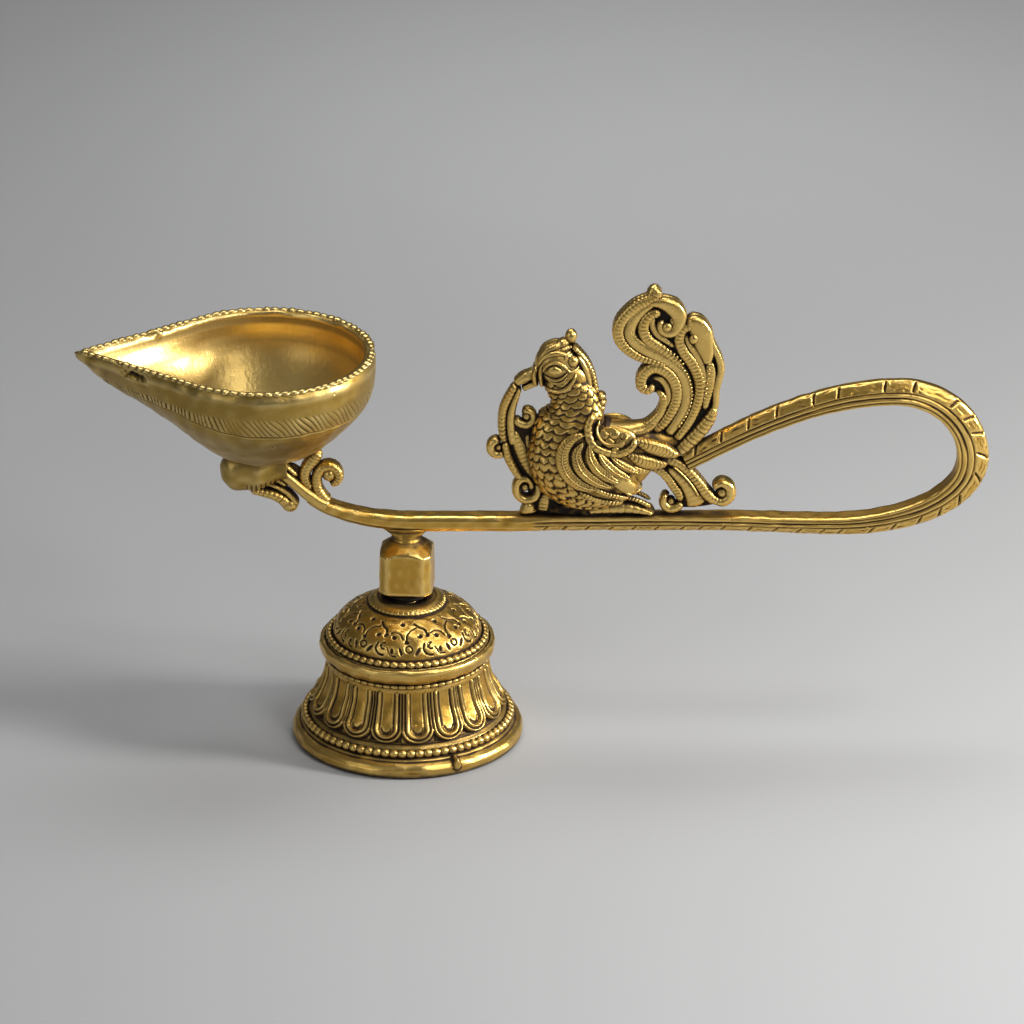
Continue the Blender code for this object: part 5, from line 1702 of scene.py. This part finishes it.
# %% Plume strands
STRANDS = [  # points, half widths, height over the web, pitch of the nicks, depth of the nicks
    (
        [
            (15.6, 70.2), (14.4, 67.4), (9.9, 65.1), (6.8, 62.3), (4.9, 59.5), (4.4, 56.5), (5.4, 53.5),
            (7.8, 51.0), (10.8, 49.1), (14.6, 47.9), (18.4, 46.6)
        ], [1.3, 1.5, 1.6, 1.6, 1.5, 1.3, 1.0, 0.6], 1.55, 1.15, 0.17
    ),
    (
        [
            (14.8, 66.2), (10.6, 62.9), (8.3, 59.6), (7.6, 56.6), (8.8, 54.2), (11.6, 52.0), (15.2, 49.9),
            (18.8, 48.0), (21.6, 45.6), (23.2, 42.6), (23.9, 39.1), (23.6, 35.1), (22.5, 32.0),
            (20.6, 28.6), (18.3, 25.4)
        ], [0.7, 1.35, 1.6, 1.7, 1.7, 1.7, 1.7, 1.6, 1.45, 1.2], 1.4, 2.0, 0.0
    ),
    (
        [
            (16.6, 62.9), (13.8, 62.4), (11.9, 60.2), (11.5, 57.4), (12.8, 54.7), (15.2, 52.9),
            (17.8, 51.0), (20.6, 48.4), (22.8, 45.6)
        ], [1.2, 1.5, 1.55, 1.55, 1.4, 1.1, 0.7], 1.6, 1.15, 0.17
    ),
    (
        [
            (12.2, 65.5), (15.8, 66.0), (19.6, 64.4), (21.5, 61.4), (20.9, 58.2), (18.8, 56.7),
            (16.6, 57.6), (16.2, 59.6), (17.4, 60.6)
        ], [0.6, 1.5, 2.2, 2.0, 1.5, 1.0, 0.8], 1.7, 2.0, 0.0
    ),
    (
        [
            (26.6, 57.0), (24.6, 58.6), (22.4, 57.6), (21.6, 54.6), (22.8, 51.0), (24.8, 48.2),
            (26.4, 45.2), (27.4, 41.8), (27.5, 38.4), (26.5, 34.2), (24.7, 29.8), (22.7, 26.6),
            (20.7, 23.8)
        ], [1.0, 1.4, 1.5, 1.6, 1.55, 1.5, 1.4, 1.25, 1.1], 1.65, 1.1, 0.17
    ),
    (
        [(23.4, 60.8), (26.2, 59.4), (27.8, 56.4), (28.6, 53.4), (29.4, 50.2), (29.6, 46.8)],
        [1.0, 2.4, 2.9, 2.6, 1.9, 0.8], 1.75, 2.0, 0.0
    ),
    (
        [(30.2, 48.4), (30.5, 44.8), (30.2, 41.0), (29.5, 37.0), (28.9, 33.0)], [0.9, 1.5, 1.5, 1.2, 0.6],
        1.45, 1.1, 0.12
    ),
    (
        [
            (24.8, 61.2), (28.8, 57.4), (31.2, 52.4), (32.9, 48.4), (33.4, 45.2), (32.8, 42.4),
            (32.1, 39.1), (32.0, 35.1), (31.2, 31.6)
        ], [0.5, 0.9, 0.9, 1.0, 1.0, 0.9, 0.8], 1.3, 2.0, 0.0
    ),
    (
        [
            (14.4, 41.2), (13.2, 39.3), (11.3, 40.0), (10.9, 42.0), (11.9, 44.4), (13.8, 45.9),
            (16.0, 45.9), (18.4, 44.5), (20.2, 42.1), (21.0, 39.4), (20.9, 36.3), (19.8, 33.2),
            (17.4, 29.2), (14.4, 26.4)
        ], [1.0, 1.4, 1.55, 1.6, 1.6, 1.55, 1.5, 1.35, 1.0], 1.65, 1.1, 0.17
    ),
    (
        [(15.2, 39.2), (16.8, 37.8), (17.4, 35.6), (16.4, 32.2), (14.0, 29.2), (11.2, 27.4), (8.0, 26.8)],
        [0.7, 1.1, 1.2, 1.25, 1.4, 1.1], 1.5, 1.2, 0.12
    ),
    (
        [
            (31.8, 34.4), (30.8, 31.4), (29.2, 28.6), (27.2, 26.0), (25.0, 23.6), (22.6, 21.2),
            (20.2, 19.6)
        ], [0.9, 1.6, 1.9, 1.9, 1.8, 1.3], 1.8, 1.45, 0.26
    ),
    # Plain strips that fill the hollows between the others.
    (
        [(14.2, 62.2), (14.0, 59.2), (15.2, 56.6), (17.8, 54.4), (20.6, 52.2)], [0.5, 0.9, 1.0, 0.8, 0.4],
        1.2, 2.0, 0.0
    ),
    ([(19.2, 62.0), (19.6, 60.0), (18.6, 58.8)], [0.5, 0.8, 0.5], 1.2, 2.0, 0.0),
    (
        [(23.2, 56.4), (24.4, 53.2), (26.4, 50.2), (27.8, 46.6), (28.7, 42.4), (28.3, 37.6)],
        [0.5, 1.0, 1.1, 0.9, 0.4], 1.3, 2.0, 0.0
    ),
    (
        [(14.0, 43.0), (16.4, 42.6), (18.2, 40.2), (18.7, 36.8), (17.8, 33.6)], [0.5, 0.9, 0.9, 0.8, 0.4],
        1.2, 2.0, 0.0
    ),
    ([(24.9, 41.6), (25.0, 37.6), (24.0, 33.0), (22.0, 28.8)], [0.3, 0.7, 0.7, 0.4], 1.3, 2.0, 0.0),
]
WEB_HALF = 1.0
STRAND_WIDER = 1.12
for number, (line, wide, height, pitch, depth) in enumerate(STRANDS):
    widths = STRAND_WIDER * np.array(wide)  # so that neighbours touch
    one = strand(on_bird(line), widths, height, pitch, depth, at_y=-WEB_HALF, columns=22, square=2.8)
    bird_piece(f"plume_strand_{number + 1:02d}", both([one]))

# %% Plume beads and knob
BEAD_LINES = [  # points, how many beads, half their size
    (
        [
            (15.4, 52.4), (19.0, 49.4), (22.3, 46.4), (24.2, 43.2), (25.1, 39.4), (24.9, 35.4),
            (23.7, 31.8), (21.7, 28.4)
        ], 26, 0.5
    ),
    ([(17.0, 52.9), (20.4, 50.2), (22.6, 47.6)], 7, 0.5),
    ([(30.0, 49.0), (30.0, 45.6), (29.4, 41.0), (28.8, 37.0)], 9, 0.45),
]
beads = []
for line, count, size in BEAD_LINES:
    for x, z in curve(on_bird(line), count):
        beads.append(ball((x, -WEB_HALF - 1.15, z), (size, 0.55, size), 6, 8))
bird_piece("plume_beads", both(beads))
knob = [strand(
    on_bird([(13.0, 66.6), (14.4, 69.0), (15.2, 71.0)]), [1.5, 1.9, 1.4], 2.0, depth=0, columns=20
)]
knob += both([
    bird_ball(18.1, 58.8, (1.35, 0.9, 1.35), y=-2.3), bird_ball(25.6, 55.2, (1.3, 0.9, 1.5), y=-2.3)
])
bird_piece("plume_tip_knob", knob)

# %% [markdown]
# ### The lower tail, the garland and the painted-shade ground
#
# Below the plume two scrolls and a leaf reach down to the handle. In front, the garland hangs from the beak
# to the handle in nicked strands, with spirals that turn in on a ball. Dark webs and a low dark mound close
# the gaps behind them: sheets of painted shade.


# %% Lower tail
# A dark sheet between the lower scrolls: painted shade in the gap.
lower_shade_web = web(
    [(14.6, 17.4), (17.0, 14.6), (19.4, 11.4), (21.6, 8.0), (22.4, 2.6)],
    [(18.6, 19.4), (22.6, 17.0), (26.2, 13.8), (29.4, 9.2), (32.0, 3.6)], 1.4, 40
)
piece("tail_painted_shade_web", lower_shade_web, dark_ground_and_shade, "arm")
outer_curl = [
    (14.6, 18.8), (18.6, 17.9), (22.4, 15.9), (25.2, 13.2), (27.4, 10.4), (29.4, 7.6), (31.6, 5.4),
    (34.0, 4.9)
]
outer = both([strand(
    on_bird(outer_curl), [1.2, 1.5, 1.6, 1.6, 1.7, 1.7, 1.2], 1.8, 1.2, 0.18, at_y=-0.9
)])
outer += [
    strand(
        on_bird([
            (31.8, 5.2), (34.4, 4.6), (36.4, 6.4), (36.2, 9.0), (34.2, 10.4), (32.4, 9.6), (32.6, 8.0)
        ]), [1.2, 1.6, 1.7, 1.6, 1.3, 0.8], 2.7, depth=0
    ),
    bird_ball(34.2, 7.4, (1.9, 2.5, 1.9)),
]
bird_piece("tail_outer_scroll", outer, ["tail_scroll"])
middle_leaf = [
    strand(
        on_bird([(18.6, 15.4), (21.8, 12.4), (24.2, 9.4), (26.0, 6.2), (27.2, 3.0)]),
        [0.9, 1.5, 1.9, 2.4, 3.0], 1.5, 1.6, 0.08, at_y=-0.9
    ),
    strand(
        on_bird([(19.6, 16.6), (23.0, 13.4), (25.8, 9.8), (27.8, 6.0)]), 0.4, 2.1, depth=0, at_y=-0.9,
        columns=10
    ),
]
bird_piece("tail_middle_leaf", both(middle_leaf), ["tail_leaf"])
inner_curl = [(12.6, 15.8), (16.2, 14.5), (18.6, 12.2), (20.4, 9.4), (21.9, 7.0), (22.4, 4.6)]
inner = both([strand(on_bird(inner_curl), [1.0, 1.3, 1.4, 1.4, 1.4, 1.1], 1.6, 1.05, 0.18, at_y=-0.9)])
inner += [
    strand(
        on_bird([(22.6, 5.0), (21.6, 3.0), (19.2, 2.5), (17.6, 4.0), (17.8, 6.2), (19.2, 6.8)]),
        [1.0, 1.4, 1.6, 1.5, 1.1, 0.7], 2.5, depth=0
    ),
    bird_ball(19.6, 4.6, (1.4, 2.1, 1.3)),
]
bird_piece("tail_inner_curl", inner, ["tail_inner_scroll"])

# %% Garland
def shrunk(points, centre, share):
    """Points drawn in towards a centre."""
    return np.asarray(centre) + share * (np.asarray(points, float) - centre)


garland = [
    in_plane(
        [(-24.2, 41.0), (-26.2, 37.2), (-27.8, 33.4), (-28.3, 29.5), (-28.1, 25.6), (-27.6, 22.6)],
        [1.0, 1.25, 1.3, 1.25, 1.1], 2.3, pitch=1.25, depth=0.2
    ),
    in_plane(
        [(-23.2, 40.0), (-24.4, 36.4), (-25.5, 33.0), (-25.9, 29.4), (-25.6, 25.4), (-24.8, 21.6)],
        [0.8, 1.1, 1.4, 1.5, 1.4], 1.9, pitch=1.7, depth=0.07
    ),
    in_plane(
        shrunk(
            [
                (-25.6, 30.6), (-23.6, 28.6), (-21.0, 28.0), (-19.2, 29.6), (-19.4, 32.2), (-21.2, 33.2),
                (-22.8, 32.0)
            ], (-21.6, 30.0), 0.86
        ), [1.1, 1.3, 1.3, 1.1, 1.0, 0.8], 2.0, depth=0
    ),
    bird_ball(-21.3, 30.9, (1.4, 1.9, 1.4)),
    in_plane(
        shrunk(
            [(-26.6, 19.2), (-29.8, 18.3), (-32.0, 19.8), (-32.2, 22.4), (-30.4, 24.0), (-28.4, 23.4)],
            (-29.0, 21.3), 0.74
        ), [1.1, 1.3, 1.4, 1.3, 1.0], 2.3, depth=0
    ),
    bird_ball(-29.3, 21.3, (1.2, 1.9, 1.2)),
    in_plane(
        [(-27.6, 23.6), (-26.8, 19.0), (-25.4, 15.6), (-23.8, 12.8), (-22.0, 11.2)],
        [1.1, 1.35, 1.3, 1.0], 2.3, pitch=1.25, depth=0.2
    ),
    in_plane(
        [(-25.2, 27.0), (-23.6, 22.6), (-22.0, 18.4), (-20.0, 14.6), (-18.0, 11.0), (-17.4, 6.6)],
        [1.2, 2.1, 2.2, 1.9, 1.1], 1.9, pitch=1.3, depth=0.16
    ),
    in_plane(
        [(-21.2, 26.0), (-20.6, 21.6), (-18.6, 17.0), (-16.0, 12.6)], [0.8, 1.2, 1.1, 0.7], 1.7,
        pitch=1.1, depth=0.16
    ),
    in_plane(
        shrunk(
            [
                (-18.0, 11.6), (-17.3, 8.4), (-18.6, 5.4), (-21.8, 4.6), (-24.4, 6.6), (-24.8, 9.8),
                (-23.0, 12.2), (-20.6, 12.0), (-19.6, 10.0), (-20.8, 8.4)
            ], (-21.4, 8.2), 0.84
        ), [0.9, 1.2, 1.35, 1.35, 1.2, 1.0, 0.8], 2.5, depth=0
    ),
    bird_ball(-21.8, 9.0, (1.4, 2.1, 1.4)),
    in_plane([(-20.6, 0.4), (-20.8, 2.6), (-20.2, 5.0)], [3.4, 2.0, 1.4], 2.6, depth=0),
    in_plane(
        [(-16.8, 1.2), (-16.2, 5.0), (-14.8, 8.4), (-13.2, 10.6)], [1.8, 1.9, 1.4, 0.6], 2.4, pitch=1.05,
        depth=0.2, lean=0.8
    ),
]
bird_piece("garland_strands", garland, ["beak_garland"])

# %% Painted-shade ground and foot
# A dark sheet behind the garland and a dark mound under the bird: painted shade in the gaps.
gap_shade_web = web(
    [(-27.2, 29.0), (-26.8, 24.0), (-25.4, 18.0), (-22.4, 12.0), (-20.6, 6.0), (-19.6, 1.0)],
    [(-18.6, 29.0), (-18.6, 24.0), (-18.0, 18.0), (-16.0, 12.0), (-11.0, 6.0), (-5.0, 0.6)], 1.5, 50
)
under = np.linspace(0, 1, 40)
path = np.stack([BIRD[0] - 16 + 28 * under, 0 * under, BIRD[1] + 2.2 + 0.6 * np.sin(np.pi * under)], 1)
swell = np.sin(np.pi * (0.04 + 0.92 * under))
mound = swept(path, 3.0 * swell**0.4, 3.0 * swell**0.5, 40, up=(0, 0, 1))
mound = shell(mound, stain_and_shade=0.5, raised=0.3 * lumps(mound, 2.6, 51))
piece("bird_shade_web_and_mound", [gap_shade_web, mound], dark_ground_and_shade, "arm")
foot = [strand(
    on_bird([(-4.4, 2.2), (1.2, 3.0), (7.0, 3.2), (11.4, 2.4), (15.2, 1.2)]), [1.0, 1.8, 2.1, 1.6, 0.6],
    3.6, 2.2, 0.14, columns=30
)]
foot_edge = on_bird([(-3.3, 4.6), (0.9, 6.2), (6.6, 6.6), (10.8, 5.4), (14.0, 3.6)])
foot += both([strand(foot_edge, 0.65, 0.9, 1.0, 0.3, at_y=-2.6)])
bird_piece("bird_foot_leaf", foot, ["bird_foot"])
